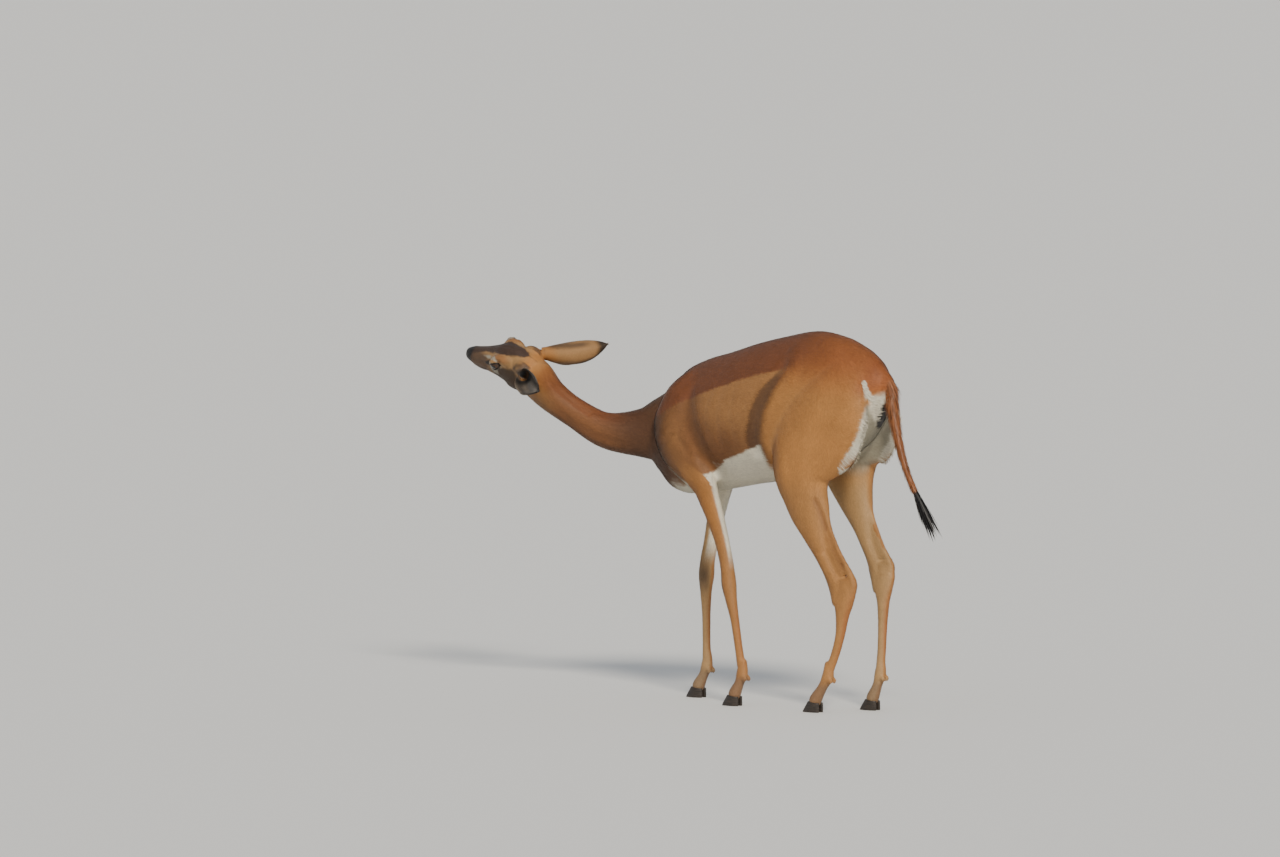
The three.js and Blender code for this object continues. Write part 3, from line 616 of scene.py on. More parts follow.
def buildSkin():
    print("skin: forms")
    points, faces = joined(bodyForms())
    skin = newObject("skin", toWorld(points), faces)
    remesh = skin.modifiers.new("remesh", "REMESH")
    remesh.mode = "VOXEL"
    remesh.voxel_size = 0.0027
    settle(skin)
    print("skin: remeshed", len(skin.data.vertices))
    spots = spotsOf(skin)
    h = inHead(spots)
    onHead = smooth(-120, -90, h[:, 0]) * mound(np.linalg.norm(h * [0.6, 1, 1] - [0, 0, -25], axis=1), 150)
    onHead = np.minimum(onHead * 3, 1)
    bulk = smooth(430, 600, spots[:, 2]) * smooth(-560, -470, spots[:, 0])
    bulk *= 1 - smooth(318, 332, spots[:, 0])
    relax(skin, 26, 0.5 * bulk)
    relax(skin, 5, np.full(len(spots), 0.5))
    relax(skin, 4, 0.5 * smooth(330, 420, spots[:, 2]))
    # The joint of neck and shoulder, and the front of the thigh, are evened most
    joint = smooth(-450, -410, spots[:, 0]) * smooth(-225, -270, spots[:, 0])
    joint = joint * smooth(560, 620, spots[:, 2])
    thigh = mound(np.abs(spots[:, 0] + 10), 90) * smooth(640, 700, spots[:, 2])
    relax(skin, 46, 0.5 * np.maximum(joint, thigh))
    relax(skin, 8, 0.5 * mound(np.abs(spots[:, 2] - 460), 90) * (spots[:, 0] > 60))
    relax(skin, 6, 0.5 * onHead)
    points = bodyRelief(spotsOf(skin), normalsOf(skin))
    setSpots(skin, points)
    points = neckRelief(spotsOf(skin), normalsOf(skin))
    setSpots(skin, points)
    relax(skin, 3, np.full(len(points), 0.4))
    print("skin: head")
    refine(skin, lambda m: headArea(m, 175))
    relax(skin, 3, 0.5 * headArea(spotsOf(skin), 165).astype(float))
    refine(skin, fineArea)
    relax(skin, 3, 0.5 * fineArea(spotsOf(skin)).astype(float))
    inside = headArea(spotsOf(skin), 170)
    points, normals = spotsOf(skin), normalsOf(skin)
    points[inside] = headRelief(points[inside], normals[inside])
    setSpots(skin, points)
    joinEars(skin)
    return skin


def headArea(points, reach):
    p = inHead(points)
    return (p[:, 0] > -112) & (np.linalg.norm(p - [10, 0, -28], axis=1) < reach)


def fineArea(points):
    p = inHead(points)
    nearEye = np.linalg.norm(np.stack([p[:, 0], np.abs(p[:, 1]), p[:, 2]], 1) - [10, 40, 1], axis=1) < 30
    return nearEye | (p[:, 0] > 64)


def joinEars(skin):
    print("skin: ears")
    group = bpy.data.collections.new("earForms")
    pieces = []
    for side in (-1, 1):
        for spots, faces in earForms(side):
            piece = newObject("earForm", toWorld(spots), faces)
            faceOut(piece)
            group.objects.link(piece)
            pieces.append(piece)
    union = skin.modifiers.new("ears", "BOOLEAN")
    union.operation = "UNION"
    union.operand_type = "COLLECTION"
    union.collection = group
    union.solver = "MANIFOLD"
    before = len(skin.data.vertices)
    settle(skin)
    print("skin: joined ears", before, len(skin.data.vertices))
    for piece in pieces:
        bpy.data.objects.remove(piece)
    bpy.data.collections.remove(group)
    h = inHead(spotsOf(skin))
    near = np.max([mound(np.linalg.norm(h - earRoot(side), axis=1), 38) for side in (-1, 1)], axis=0)
    relax(skin, 8, 0.5 * np.minimum(near * 2, 1))
    onEar = np.max([earPlace(h, side)[3] for side in (-1, 1)], axis=0)
    relax(skin, 2, 0.4 * onEar)


def earPlace(h, side):  # share along and across, side of the sheet, 1 where on it, and the way out of it
    along, across, opened = earWays(side)
    offset = h - earRoot(side)
    u = offset @ along / ear["length"]
    bowed = offset @ across + side * ear["bow"] * np.sin(np.pi * np.clip(u, 0, 1))
    roll = np.radians(150 - 88 * np.clip(u / 0.45, 0, 1))
    curve = earHalf(u) / np.sin(np.minimum(roll, math.pi / 2))
    rise = offset @ opened - (curve - ear["tube"] + 6 * u * u)
    turn = np.arctan2(bowed, -rise)
    level = np.hypot(bowed, rise) - curve + 1.2
    on = (u > 0.06) & (u < 1.08) & (level < 5) & (level > -5 - 9 * smooth(0.4, 0.15, u))
    on &= (np.abs(turn) < roll + 0.15) & (side * h[:, 1] > 0)
    outward = unit(bowed[:, None] * across + rise[:, None] * opened)
    return u, side * turn / roll, level, on.astype(float), outward


# Markings and painted shade: colours are sRGB values, mixed by place on the body; some tones are the coat
# greyed or darkened as painted shade. Edges are x and z seen from her side

tones = {
    "tan": (0.66, 0.46, 0.26), "orange": (0.70, 0.46, 0.21), "saddle": (0.475, 0.28, 0.165),
    "croup": (0.60, 0.325, 0.14), "haunch": (0.72, 0.50, 0.27), "flank": (0.65, 0.46, 0.27),
    "flankDarkAndShade": (0.46, 0.29, 0.16), "foldShadow": (0.31, 0.21, 0.145), "shoulderInShade": (0.47, 0.315, 0.19),
    "white": (0.87, 0.84, 0.76), "whiteInShade": (0.64, 0.61, 0.53), "innerLeg": (0.71, 0.58, 0.40),
    "shank": (0.69, 0.49, 0.28), "knee": (0.44, 0.35, 0.26), "neckShade": (0.34, 0.225, 0.15),
    "neckTop": (0.50, 0.29, 0.15), "neckSide": (0.52, 0.34, 0.20), "grey": (0.40, 0.34, 0.29),
    "faceTan": (0.64, 0.49, 0.31), "faceBand": (0.26, 0.19, 0.15), "browTan": (0.57, 0.38, 0.21),
    "cheekShade": (0.20, 0.145, 0.105), "muzzle": (0.33, 0.245, 0.185), "eyeRing": (0.68, 0.65, 0.58),
    "lidDark": (0.09, 0.07, 0.06), "nose": (0.085, 0.07, 0.065), "lips": (0.58, 0.54, 0.48),
    "earBack": (0.64, 0.48, 0.30), "earInShade": (0.50, 0.45, 0.39), "earDark": (0.20, 0.165, 0.145),
    "tailHair": (0.55, 0.34, 0.20), "black": (0.055, 0.045, 0.04), "bareSkin": (0.12, 0.10, 0.095)}


def tone(name):
    c = np.array(tones[name])
    return np.where(c < 0.04045, c / 12.92, ((c + 0.055) / 1.055) ** 2.4)


def wave(points, size, salt=0.0):  # soft unevenness between -1 and 1, in space
    p = points / size
    a = np.sin(p[:, 0] * 1.7 + 1.3 * np.sin(p[:, 2] * 1.1 + salt) + salt)
    b = np.sin(p[:, 2] * 2.1 + 1.7 * np.sin(p[:, 1] * 1.3 - salt) + 2.1 * salt)
    c = np.sin(p[:, 1] * 1.9 + 1.1 * np.sin(p[:, 0] * 1.5 + 0.7) - salt)
    return (a + b + c) / 3


saddleEdge = [(-372, 745), (-308, 782), (-288, 792), (-219, 814), (-149, 838), (-83, 859), (-20, 874),
              (36, 887), (110, 900), (210, 902), (300, 890)]
bellyEdge = [(-330, 560), (-240, 592), (-181, 616), (-140, 645), (-77, 669), (-24, 690), (0, 690),
             (60, 700), (150, 716)]
rumpEdge = [  # these two are z and x
    (610, 212), (636, 230), (669, 256), (703, 279), (742, 295), (780, 300), (813, 301), (838, 300)]
thighEdge = [(600, -30), (654, -33), (702, -40), (776, -23), (834, 4), (884, 37), (905, 52)]
rumpStreak = [(286, 868), (295, 844), (303, 818)]


def lineAt(line, at):  # the second value of a line where its first is at
    return np.interp(at, *np.array(sorted(line), float).T)


def coatColour(points, normals):
    _, y, z = points.T
    out = np.abs(y)
    part = np.array([spine[0] for spine in spines])[nearestSpine(points)[0]]
    colour = np.repeat(tone("tan")[None], len(points), axis=0)

    def paint(name, amount):
        amount = np.clip(amount, 0, 1)[:, None]
        colour[:] = colour * (1 - amount) + tone(name) * amount

    ragged = wave(points, 5) * 2.2 + wave(points, 17, 2.0) * 2.2
    inner = np.where(y < 0, normals[:, 1], -normals[:, 1])  # 1 where it faces the other legs
    hind = np.isin(part, ["hindLeft", "hindRight"]) * 1.0
    fore = np.isin(part, ["foreLeft", "foreRight"]) * 1.0
    tail = (part == "tail") * 1.0
    body = smooth(520, 600, z) * (1 - tail)
    plane = points[:, [0, 2]]
    paintBody(paint, points, plane, out, body, ragged)
    paintNeck(paint, points, normals, part)
    paintLegs(paint, points, normals, inner, hind, fore)
    paintBelly(paint, points, normals, out, part, ragged)
    paintRump(paint, points, plane, out, inner, hind, tail, ragged)
    paint("tailHair", tail)
    paint("saddle", tail * 0.35 * smooth(760, 660, z))
    paint("black", tail * smooth(625, 570, z))
    paint("grey", hind * 0.6 * (1 - smooth(62, 92, z)))
    paint("grey", fore * 0.6 * (1 - smooth(62, 92, z)))
    headColour(points, normals, part, paint)
    return colour * (1 + 0.045 * wave(points, 26, 1.0) + 0.03 * wave(points, 9, 3.0))[:, None]


def paintBody(paint, points, plane, out, body, ragged):
    x, _, z = points.T
    front = lineAt(thighEdge, z)
    paint("flank", body * smooth(-400, -340, x))
    # Darker flank behind the shoulder and low down: partly the coat's own darker band above the belly,
    # partly painted shade in the hollow behind the shoulder.
    low = lineDistance(plane, [(-262, 775), (-232, 705), (-186, 655), (-130, 668)])
    paint("flankDarkAndShade", 0.75 * body * mound(low, 78))
    paint("flankDarkAndShade", 0.5 * body * smooth(760, 690, z + 0.12 * x) * smooth(-330, -260, x))
    ahead = front - x
    haunch = smooth(2, -26, ahead) * body
    paint("haunch", haunch)
    # Painted shadow: a dark band on the flank just before the thigh, crisp at the thigh's edge and fading
    # forwards.
    reach = 6 + 16 * smooth(900, 820, z)
    shade = smooth(reach + 5, reach - 7, ahead - ragged * 0.5) * smooth(-46, -12, ahead)
    paint("foldShadow", 0.78 * body * shade * smooth(600, 660, z) * smooth(915, 860, z) * (out > 50))
    paint("croup", 0.8 * haunch * smooth(815, 945, z + 0.10 * (x - 60)))
    paint("croup", 0.85 * haunch * smooth(262, 300, x) * smooth(818, 850, z))
    # The shoulder's own brown, darkened with painted shade where it turns from the light.
    paint("shoulderInShade", 0.9 * body * smooth(-236, -320, x))
    paint("tan", 0.35 * body * mound(np.hypot((x + 306) / 56, (z - 700) / 90), 1) * (out > 50))
    # Painted shade: the base of the neck and the front of the shoulder, turned from the light, are
    # darkened.
    paint("neckShade", 0.85 * body * smooth(-306, -376, x + 0.10 * (z - 700)))
    soft = 4 + 46 * smooth(26, 130, x)
    back = smooth(-1, 1, (z - lineAt(saddleEdge, x) + ragged * 0.8) / soft) * body * smooth(-400, -360, x)
    paint("saddle", back * (1 - 0.62 * smooth(30, 220, x)))


def paintNeck(paint, points, normals, part):
    x, _, z = points.T
    neckOn = (part == "neck") * smooth(-340, -420, x)
    paint("neckSide", neckOn)
    paint("neckTop", neckOn * smooth(0.1, 0.75, normals[:, 2]))
    # Painted shade on the base of the neck.
    paint("neckShade", neckOn * smooth(-560, -450, x + 0.3 * (z - 700)) * 0.9)
    paint("orange", neckOn * 0.75 * smooth(-650, -735, x) * smooth(-0.4, 0.3, normals[:, 2]))
    side = smooth(-0.1, 0.5, -normals[:, 1]) * smooth(0.5, 0, normals[:, 2])
    paint("faceTan", neckOn * 0.5 * smooth(-630, -700, x) * side)
    # Painted shade under the neck near the head, where it faces down.
    paint("neckShade", neckOn * 0.45 * smooth(0.2, 0.8, -normals[:, 2]) * smooth(-700, -640, x))


def paintLegs(paint, points, normals, inner, hind, fore):
    _, y, z = points.T
    paint("shank", hind * smooth(640, 540, z))
    paint("tan", fore * smooth(650, 590, z))
    paint("orange", 0.45 * fore * mound(np.abs(z - 520), 130) * smooth(0, 0.6, -inner))
    # Painted shade along the groove between the gaskin and the tendon of the hind legs.
    for sides, line, reach, _ in creases[-2:]:
        groove = mound(lineDistance(points[:, [0, 2]], line), reach + 4) * (sides[0] * y > 0)
        paint("flankDarkAndShade", 0.55 * hind * groove * smooth(0, 0.5, -inner))
    paint("innerLeg", fore * smooth(0.1, 0.6, inner) * smooth(620, 560, z) * 0.75)
    paint("innerLeg", hind * smooth(0.2, 0.75, inner) * smooth(700, 560, z) * 0.75)
    stripe = smooth(-0.12, 0.22, 0.45 * inner + 0.95 * normals[:, 0] - 0.42)
    paint("white", fore * stripe * smooth(350, 430, z) * smooth(645, 625, z))
    kneeFront = smooth(0.2, 0.8, np.maximum(-normals[:, 0], 0.8 * inner))
    paint("knee", fore * mound(np.abs(z - 325), 66) * kneeFront * 0.85)
    paint("croup", 0.55 * hind * mound(np.abs(z - 230), 170) * smooth(0.2, 0.9, normals[:, 0]))
    paint("croup", 0.35 * fore * mound(np.abs(z - 190), 120) * smooth(0.2, 0.9, normals[:, 0]))


def paintBelly(paint, points, normals, out, part, ragged):
    x, _, z = points.T
    under = smooth(-3, 4, lineAt(bellyEdge, x) - z + ragged * 0.8)
    inside = np.maximum(part == "trunk", smooth(575, 640, z) * smooth(66, 54, out) * smooth(110, 60, x))
    thigh = smooth(10, 24, x - lineAt(thighEdge, z)) * smooth(46, 62, out)
    paint("white", under * inside * (1 - thigh) * (x > -345) * (x < 190))
    chest = smooth(0.50, 0.80, -normals[:, 2] + 0.03 * ragged)
    paint("white", chest * (part == "trunk") * smooth(-372, -350, x) * (z < 640))


def paintRump(paint, points, plane, out, inner, hind, tail, ragged):
    x, _, z = points.T
    # Painted shade: the white inside the thighs, between them and round the middle of the rump is greyed as
    # white in shade.
    thighs = hind * smooth(600, 680, z) * smooth(0.30, 0.60, inner) * smooth(60, 130, x)
    paint("whiteInShade", thighs * 0.9)
    between = smooth(130, 170, x) * smooth(68, 54, out) * smooth(600, 670, z) * smooth(812, 790, z)
    paint("whiteInShade", between * (1 - tail))
    rump = smooth(-3, 3, x - lineAt(rumpEdge, z) + ragged * 0.6) * smooth(636, 690, z)
    rump = rump * smooth(852, 826, z + 0.008 * out ** 2 + ragged) * (1 - tail) * (x > 180)
    paint("white", rump)
    # White greyed by painted shade deep in the middle of the rump.
    paint("whiteInShade", rump * 0.75 * smooth(52, 34, out) * smooth(770, 720, z))
    width = np.interp(z, [818, 868], [4.0, 0.5])
    streak = smooth(1.5, -1.5, lineDistance(plane, rumpStreak) - width + ragged * 0.35)
    paint("white", streak * (out > 30) * (out < 86) * (1 - tail))
    bare = np.hypot((z - 778) / 42, out / 24) + 0.05 * ragged / 4
    paint("bareSkin", smooth(1.05, 0.85, bare) * (x > 262) * (1 - tail))


def headColour(points, normals, part, paint):
    h = inHead(points)
    n = normals @ headAxes.T
    hx, hy, hz = h.T
    out = np.abs(hy)
    plane = h[:, [0, 2]]
    near = np.linalg.norm(h - [10, 0, -28], axis=1) < 185
    on = ((part == "head") | (hx > -128)) * smooth(-136, -88, hx) * near
    ragged = wave(points, 3.2, 1.5) * 1.6
    paint("faceTan", on)
    paint("orange", 0.8 * on * smooth(-58, -92, hx) * smooth(-64, -26, hz))
    paint("neckSide", on * 0.6 * smooth(-10, -50, hz) * smooth(-20, -70, hx))
    # The muzzle's own brown, darkened on its lower half with painted shade.
    paint("muzzle", 0.9 * on * smooth(32, 64, hx) * smooth(8, -8, hz))
    # Painted shade: the cheek below and behind the eye, much darker than its own brown.
    cheekShade = smooth(2, -12, hz) * smooth(-62, -44, hx + ragged) * smooth(52, 30, hx) * smooth(10, 24, out)
    paint("cheekShade", 0.9 * on * cheekShade * smooth(-92, -78, hz))
    paint("lips", on * smooth(-62, -74, hz) * smooth(20, 60, hx) * 0.7)
    band = smooth(3, -3, out - lineAt(bandHalf, hx) + ragged) * smooth(-8, 6, hz + 0.16 * np.maximum(hx, 0))
    brow = mound(np.hypot((hx + 8) / 42, (out - 37) / 19), 1) * smooth(8, 18, hz)
    paint("browTan", on * 0.8 * np.minimum(brow * 1.4, 1))
    paint("faceBand", on * band * (n[:, 2] > -0.1))
    a, b = hx - eyes["forward"], hz - eyes["above"]
    opening = lidOpening(a, b)
    ring = smooth(1.15, 0.85, np.hypot((a - 1) / 23, (b + 1) / 13) + 0.06 * ragged) * (out > 26)
    paint("eyeRing", on * ring * (0.3 + 0.6 * smooth(-10, 12, a + 0.3 * b)))
    beyond = lineDistance(np.stack([hx, out, hz], 1), paleStreak) - lineAt(paleHalf, hx)
    paint("eyeRing", 0.85 * on * smooth(2.2, -2.2, beyond + 0.8 * ragged))
    spot = np.hypot((hx - 26) / 17, (hz + 27) / 14) + 0.08 * ragged
    paint("eyeRing", 0.75 * on * smooth(1.2, 0.7, spot) * (out > 20))
    paint("lidDark", 0.9 * on * smooth(7, 3.5, lineDistance(plane, glandLine)) * (out > 18))
    paint("lidDark", on * smooth(-4.6, -2.8, opening) * (out > 30))
    paint("earDark", 0.7 * on * mound(lineDistance(plane, earRimLine), 7) * (out > 24))
    tip = smooth(112, 122, hx + 0.3 * (hz + 34)) * smooth(-53, -48, hz)
    paint("nose", on * tip)
    paint("faceBand", on * smooth(96, 118, hx) * smooth(-30, -18, hz) * (1 - tip))
    paint("nose", on * mound(lineDistance(plane, lipLine), 4.6) * (hx > 70))
    for side in (-1, 1):
        earColour(h, n, side, paint)


def earColour(h, n, side, paint):
    u, share, _, here, outward = earPlace(h, side)
    inside = smooth(0.3, -0.2, (n * outward).sum(1))
    here = here * smooth(0.02, 0.1, u)
    back = here * (1 - inside)
    edge = smooth(0.45, 0.8, np.abs(share))
    paint("earBack", here)
    paint("orange", back * 0.6 * (1 - smooth(0.1, 0.3, u)) * (1 - edge))
    paint("grey", back * 0.6 * edge * (1 - smooth(0.35, 0.6, u)))
    # The ear's pale inside, greyed with painted shade.
    paint("earInShade", here * inside)
    rows = 0.5 + 0.5 * np.cos(share * 3.3 * np.pi + 3 * u)
    paint("earDark", here * inside * (0.35 + 0.45 * rows) * (1 - smooth(0.62, 0.9, u)))
    paint("earInShade", here * smooth(0.86, 0.96, np.abs(share)) * 0.7 * smooth(0.2, 0.35, u))
    streak = mound(np.abs(share - 0.45), 0.40) * smooth(0.05, 0.18, u) * (1 - smooth(0.6, 0.82, u))
    paint("earDark", back * streak * 0.7)
    paint("earDark", back * smooth(0.62, 0.92, -share) * smooth(0.35, 0.6, u) * 0.85)
    paint("black", here * smooth(0.80, 0.93, u + 0.05 * np.abs(share)) * 0.92)
    # The ear's dark skin, blackened with painted shade deep in the cup by the root.
    paint("black", here * inside * smooth(0.30, 0.12, u) * 0.9)
    along, _, opened = earWays(side)
    offset = h - earRoot(side)
    flat = offset - (offset @ along)[:, None] * along
    radius = np.linalg.norm(flat, axis=1)
    front = smooth(-0.1, 0.5, (flat @ opened) / np.maximum(radius, 1)) * smooth(-0.13, -0.05, u)
    front = front * smooth(0.3, 0.14, u) * (1 - here) * (side * h[:, 1] > 0)
    paint("grey", front * smooth(ear["tube"] + 16, ear["tube"] + 6, radius) * 0.85)
    # The ear's dark skin round the mouth of its tube and black inside it, deepened with painted shade in
    # the hollow.
    paint("earDark", front * smooth(ear["tube"] + 6, ear["tube"] + 1, radius) * 0.85)
    paint("black", (radius < ear["tube"] - 1.6) * smooth(-0.07, -0.03, u) * smooth(0.30, 0.12, u) * 0.85)


# Materials

def newMaterial(name):
    made = bpy.data.materials.new(name)
    made.use_nodes = True
    nodes = made.node_tree.nodes
    return made, nodes, made.node_tree.links, nodes["Principled BSDF"]


def spreadNode(nodes, links, noise, low, high):  # a noise's range, from low to high
    spread = nodes.new("ShaderNodeMapRange")
    spread.inputs["To Min"].default_value = low
    spread.inputs["To Max"].default_value = high
    links.new(noise.outputs["Fac"], spread.inputs["Value"])
    return spread.outputs["Result"]


def bumpNode(nodes, links, noise, strength, distance, shader):
    raised = nodes.new("ShaderNodeBump")
    raised.inputs["Strength"].default_value = strength
    raised.inputs["Distance"].default_value = distance
    links.new(noise.outputs["Fac"], raised.inputs["Height"])
    links.new(raised.outputs["Normal"], shader.inputs["Normal"])


def coatMaterial(name, rough, bump, fine):
    made, nodes, links, shader = newMaterial(name)
    colour = nodes.new("ShaderNodeAttribute")
    colour.attribute_name = "coat"
    place = nodes.new("ShaderNodeAttribute")
    place.attribute_name = "lie"
    hair = nodes.new("ShaderNodeTexNoise")
    hair.inputs["Scale"].default_value = fine
    hair.inputs["Detail"].default_value = 3
    links.new(place.outputs["Vector"], hair.inputs["Vector"])
    shade = nodes.new("ShaderNodeVectorMath")
    shade.operation = "SCALE"
    links.new(colour.outputs["Color"], shade.inputs[0])
    links.new(spreadNode(nodes, links, hair, 0.80, 1.20), shade.inputs["Scale"])
    links.new(shade.outputs["Vector"], shader.inputs["Base Color"])
    bumpNode(nodes, links, hair, bump, 0.0012, shader)
    shader.inputs["Roughness"].default_value = rough
    shader.inputs["Specular IOR Level"].default_value = 0.35
    shader.inputs["Sheen Weight"].default_value = 0.12
    shader.inputs["Sheen Roughness"].default_value = 0.4
    return made


def eyeMaterial():
    made, nodes, links, shader = newMaterial("eyeGloss")
    colour = nodes.new("ShaderNodeAttribute")
    colour.attribute_name = "coat"
    links.new(colour.outputs["Color"], shader.inputs["Base Color"])
    specks = nodes.new("ShaderNodeTexNoise")
    specks.inputs["Scale"].default_value = 900
    links.new(spreadNode(nodes, links, specks, 0.05, 0.12), shader.inputs["Roughness"])
    shader.inputs["Specular IOR Level"].default_value = 0.25
    shader.inputs["Coat Weight"].default_value = 0.3
    shader.inputs["Coat Roughness"].default_value = 0.03
    return made


def hornMaterial():
    made, nodes, links, shader = newMaterial("hoofHorn")
    where = nodes.new("ShaderNodeTexCoord")
    stretch = nodes.new("ShaderNodeMapping")
    stretch.inputs["Scale"].default_value = (40, 40, 420)
    links.new(where.outputs["Object"], stretch.inputs["Vector"])
    rings = nodes.new("ShaderNodeTexNoise")
    rings.inputs["Scale"].default_value = 1.6
    rings.inputs["Detail"].default_value = 4
    links.new(stretch.outputs["Vector"], rings.inputs["Vector"])
    ramp = nodes.new("ShaderNodeValToRGB")
    ramp.color_ramp.elements[0].position = 0.3
    ramp.color_ramp.elements[0].color = (0.008, 0.006, 0.005, 1)
    ramp.color_ramp.elements[1].position = 0.75
    ramp.color_ramp.elements[1].color = (0.05, 0.036, 0.026, 1)
    links.new(rings.outputs["Fac"], ramp.inputs["Fac"])
    links.new(ramp.outputs["Color"], shader.inputs["Base Color"])
    bumpNode(nodes, links, rings, 0.35, 0.0006, shader)
    shader.inputs["Roughness"].default_value = 0.42
    return made


def setColour(made, colours):
    layer = made.data.color_attributes.new("coat", "FLOAT_COLOR", "POINT")
    values = np.ones((len(colours), 4), np.float32)
    values[:, :3] = np.clip(colours, 0, 1)
    layer.data.foreach_set("color", values.ravel())


def setLie(made, vectors):
    layer = made.data.attributes.new("lie", "FLOAT_VECTOR", "POINT")
    layer.data.foreach_set("vector", vectors.astype(np.float32).ravel())


def lieSpace(points):  # along the lie and round the part, for fine hair streaks, in metres
    which, along, lie, flat = nearestSpine(points)
    level = np.where((np.abs(lie[:, 2]) > 0.75)[:, None], arr(1, 0, 0), arr(0, 0, 1))
    side = unit(np.cross(lie, level))
    rise = np.cross(side, lie)
    angle = np.arctan2((flat * rise).sum(1), (flat * side).sum(1))
    reach = np.linalg.norm(flat, axis=1)
    streaks = np.stack([along * 0.09, np.cos(angle) * reach, np.sin(angle) * reach], 1) / 1000
    return which, along, angle, streaks


def shadeSmooth(made):
    made.data.polygons.foreach_set("use_smooth", np.ones(len(made.data.polygons), bool))
    made.data.update()


# Hair: tapered blades, each a patch on the skin's own unwrap

unwrap = {"across": 4, "patch": 0.003}


def unwrapOf(points):
    which, along, angle, _ = lieSpace(points)
    h = inHead(points)
    tile = which.astype(float)
    u = np.clip(along / 900 + 0.04, 0.02, 0.96)
    for k, side in enumerate((-1, 1)):
        on = earPlace(h, side)
        here = on[3] > 0
        tile[here] = len(spines) + k
        u[here] = np.clip(on[0][here], 0.03, 0.96)
        angle[here] = np.clip(on[1][here], -1, 1) * 1.4 + np.where(on[2][here] > 0, 1.6, -1.4)
    v = np.clip((angle + math.pi) / (2 * math.pi), 0.02, 0.98)
    column, row = tile % unwrap["across"], tile // unwrap["across"]
    return np.stack([(column + u * 0.96) / unwrap["across"], (row + v * 0.96) / unwrap["across"]], 1)


def hairMesh(name, roots, normals, ways, lengths, widths, lifts, colours, sag=None, rows=2, tips=None):
    count = len(roots)
    across = unit(np.cross(normals, ways))
    steps = np.linspace(0, 1, rows + 1)
    spots, shades = [], []
    sag = np.zeros((count, 3)) if sag is None else sag
    for t in steps:
        centre = roots - normals * 0.5 + ways * (lengths * t)[:, None]
        centre = centre + normals * (lifts * math.sin(min(t, 0.75) / 0.75 * math.pi / 2) + 0.5)[:, None]
        centre = centre + sag * t * t
        if t == 0:
            centre = centre - normals * 0.9
        shade = colours if tips is None else colours * (1 - t) + tips * t
        if t < 1:
            wide = widths * (0.75 if t == 0 else 1 - 0.55 * t)
            spots += [centre - across * wide[:, None] / 2, centre + across * wide[:, None] / 2]
            shades += [shade * (0.86 + 0.14 * t)] * 2
        else:
            spots.append(centre)
            shades.append(shade)
    each = len(spots)
    points = np.stack(spots, axis=1).reshape(-1, 3)
    tints = np.stack(shades, axis=1).reshape(-1, 3)
    triangles = []
    for row in range(rows - 1):
        a = 2 * row
        triangles += [(a, a + 1, a + 3), (a, a + 3, a + 2)]
    triangles.append((each - 3, each - 2, each - 1))
    triangles = np.array(triangles)
    faces = (triangles[None] + np.arange(count)[:, None, None] * each).reshape(-1, 3)
    mesh = bpy.data.meshes.new(name)
    mesh.vertices.add(len(points))
    mesh.vertices.foreach_set("co", toWorld(points).astype(np.float32).ravel())
    mesh.loops.add(faces.size)
    mesh.loops.foreach_set("vertex_index", faces.astype(np.int32).ravel())
    mesh.polygons.add(len(faces))
    mesh.polygons.foreach_set("loop_start", np.arange(0, faces.size, 3, dtype=np.int32))
    mesh.update(calc_edges=True)
    made = bpy.data.objects.new(name, mesh)
    bpy.context.scene.collection.objects.link(made)
    setColour(made, tints)
    setLie(made, np.repeat(lieSpace(roots)[3], each, axis=0))
    local = []
    for t in steps:
        local += [(-0.5, t), (0.5, t)] if t < 1 else [(0, t)]
    patch = np.array(local) * unwrap["patch"]
    flat = (unwrapOf(roots)[:, None, :] + patch[None]).reshape(-1, 2)
    layer = mesh.uv_layers.new(name="OFBake")
    layer.data.foreach_set("uv", flat[faces.ravel()].astype(np.float32).ravel())
    shadeSmooth(made)
    return made


def scatter(skin, density, seed):  # roots spread over the skin, density in hairs per square millimetre
    mesh = skin.data
    mesh.calc_loop_triangles()
    corners = np.zeros(len(mesh.loop_triangles) * 3, np.int32)
    mesh.loop_triangles.foreach_get("vertices", corners)
    corners = corners.reshape(-1, 3)
    points, normals = spotsOf(skin), normalsOf(skin)
    a, b, c = (points[corners[:, k]] for k in range(3))
    area = np.linalg.norm(np.cross(b - a, c - a), axis=1) / 2
    draw = np.random.RandomState(seed)
    wanted = area * density((a + b + c) / 3)
    number = np.floor(wanted + draw.rand(len(wanted))).astype(int)
    which = np.repeat(np.arange(len(wanted)), number)
    s, t = draw.rand(len(which)), draw.rand(len(which))
    over = s + t > 1
    s[over], t[over] = 1 - s[over], 1 - t[over]
    corner = corners[which]
    roots = a[which] + (b[which] - a[which]) * s[:, None] + (c[which] - a[which]) * t[:, None]
    shares = (1 - s - t, s, t)
    facing = sum(normals[corner[:, k]] * shares[k][:, None] for k in range(3))
    return roots, unit(facing), draw


coat = {"perMm": 0.26, "length": 9.0, "width": 1.5, "lift": 0.9, "head": 0.62, "headPerMm": 0.62}


def coatDensity(points):
    h = inHead(points)
    onHead = (h[:, 0] > -100) & (np.linalg.norm(h - [10, 0, -28], axis=1) < 185)
    onEar = np.max([earPlace(h, s)[3] for s in (-1, 1)], axis=0) > 0
    amount = np.where(onHead | onEar, coat["headPerMm"], coat["perMm"])
    opening = lidOpening(h[:, 0] - eyes["forward"], h[:, 2] - eyes["above"])
    bare = (opening > -2.4) & (np.abs(h[:, 1]) > 28) & (np.abs(h[:, 0] - eyes["forward"]) < 24)
    bare |= (h[:, 0] > 119) & (h[:, 2] > -50) & (np.linalg.norm(h - [130, 0, -30], axis=1) < 30)
    bare |= points[:, 2] < 24
    under = np.hypot((points[:, 2] - 778) / 36, points[:, 1] / 19) < 1
    bare |= under & (points[:, 0] > 268) & (points[:, 0] < 330)
    return np.where(bare, 0, amount) * 1


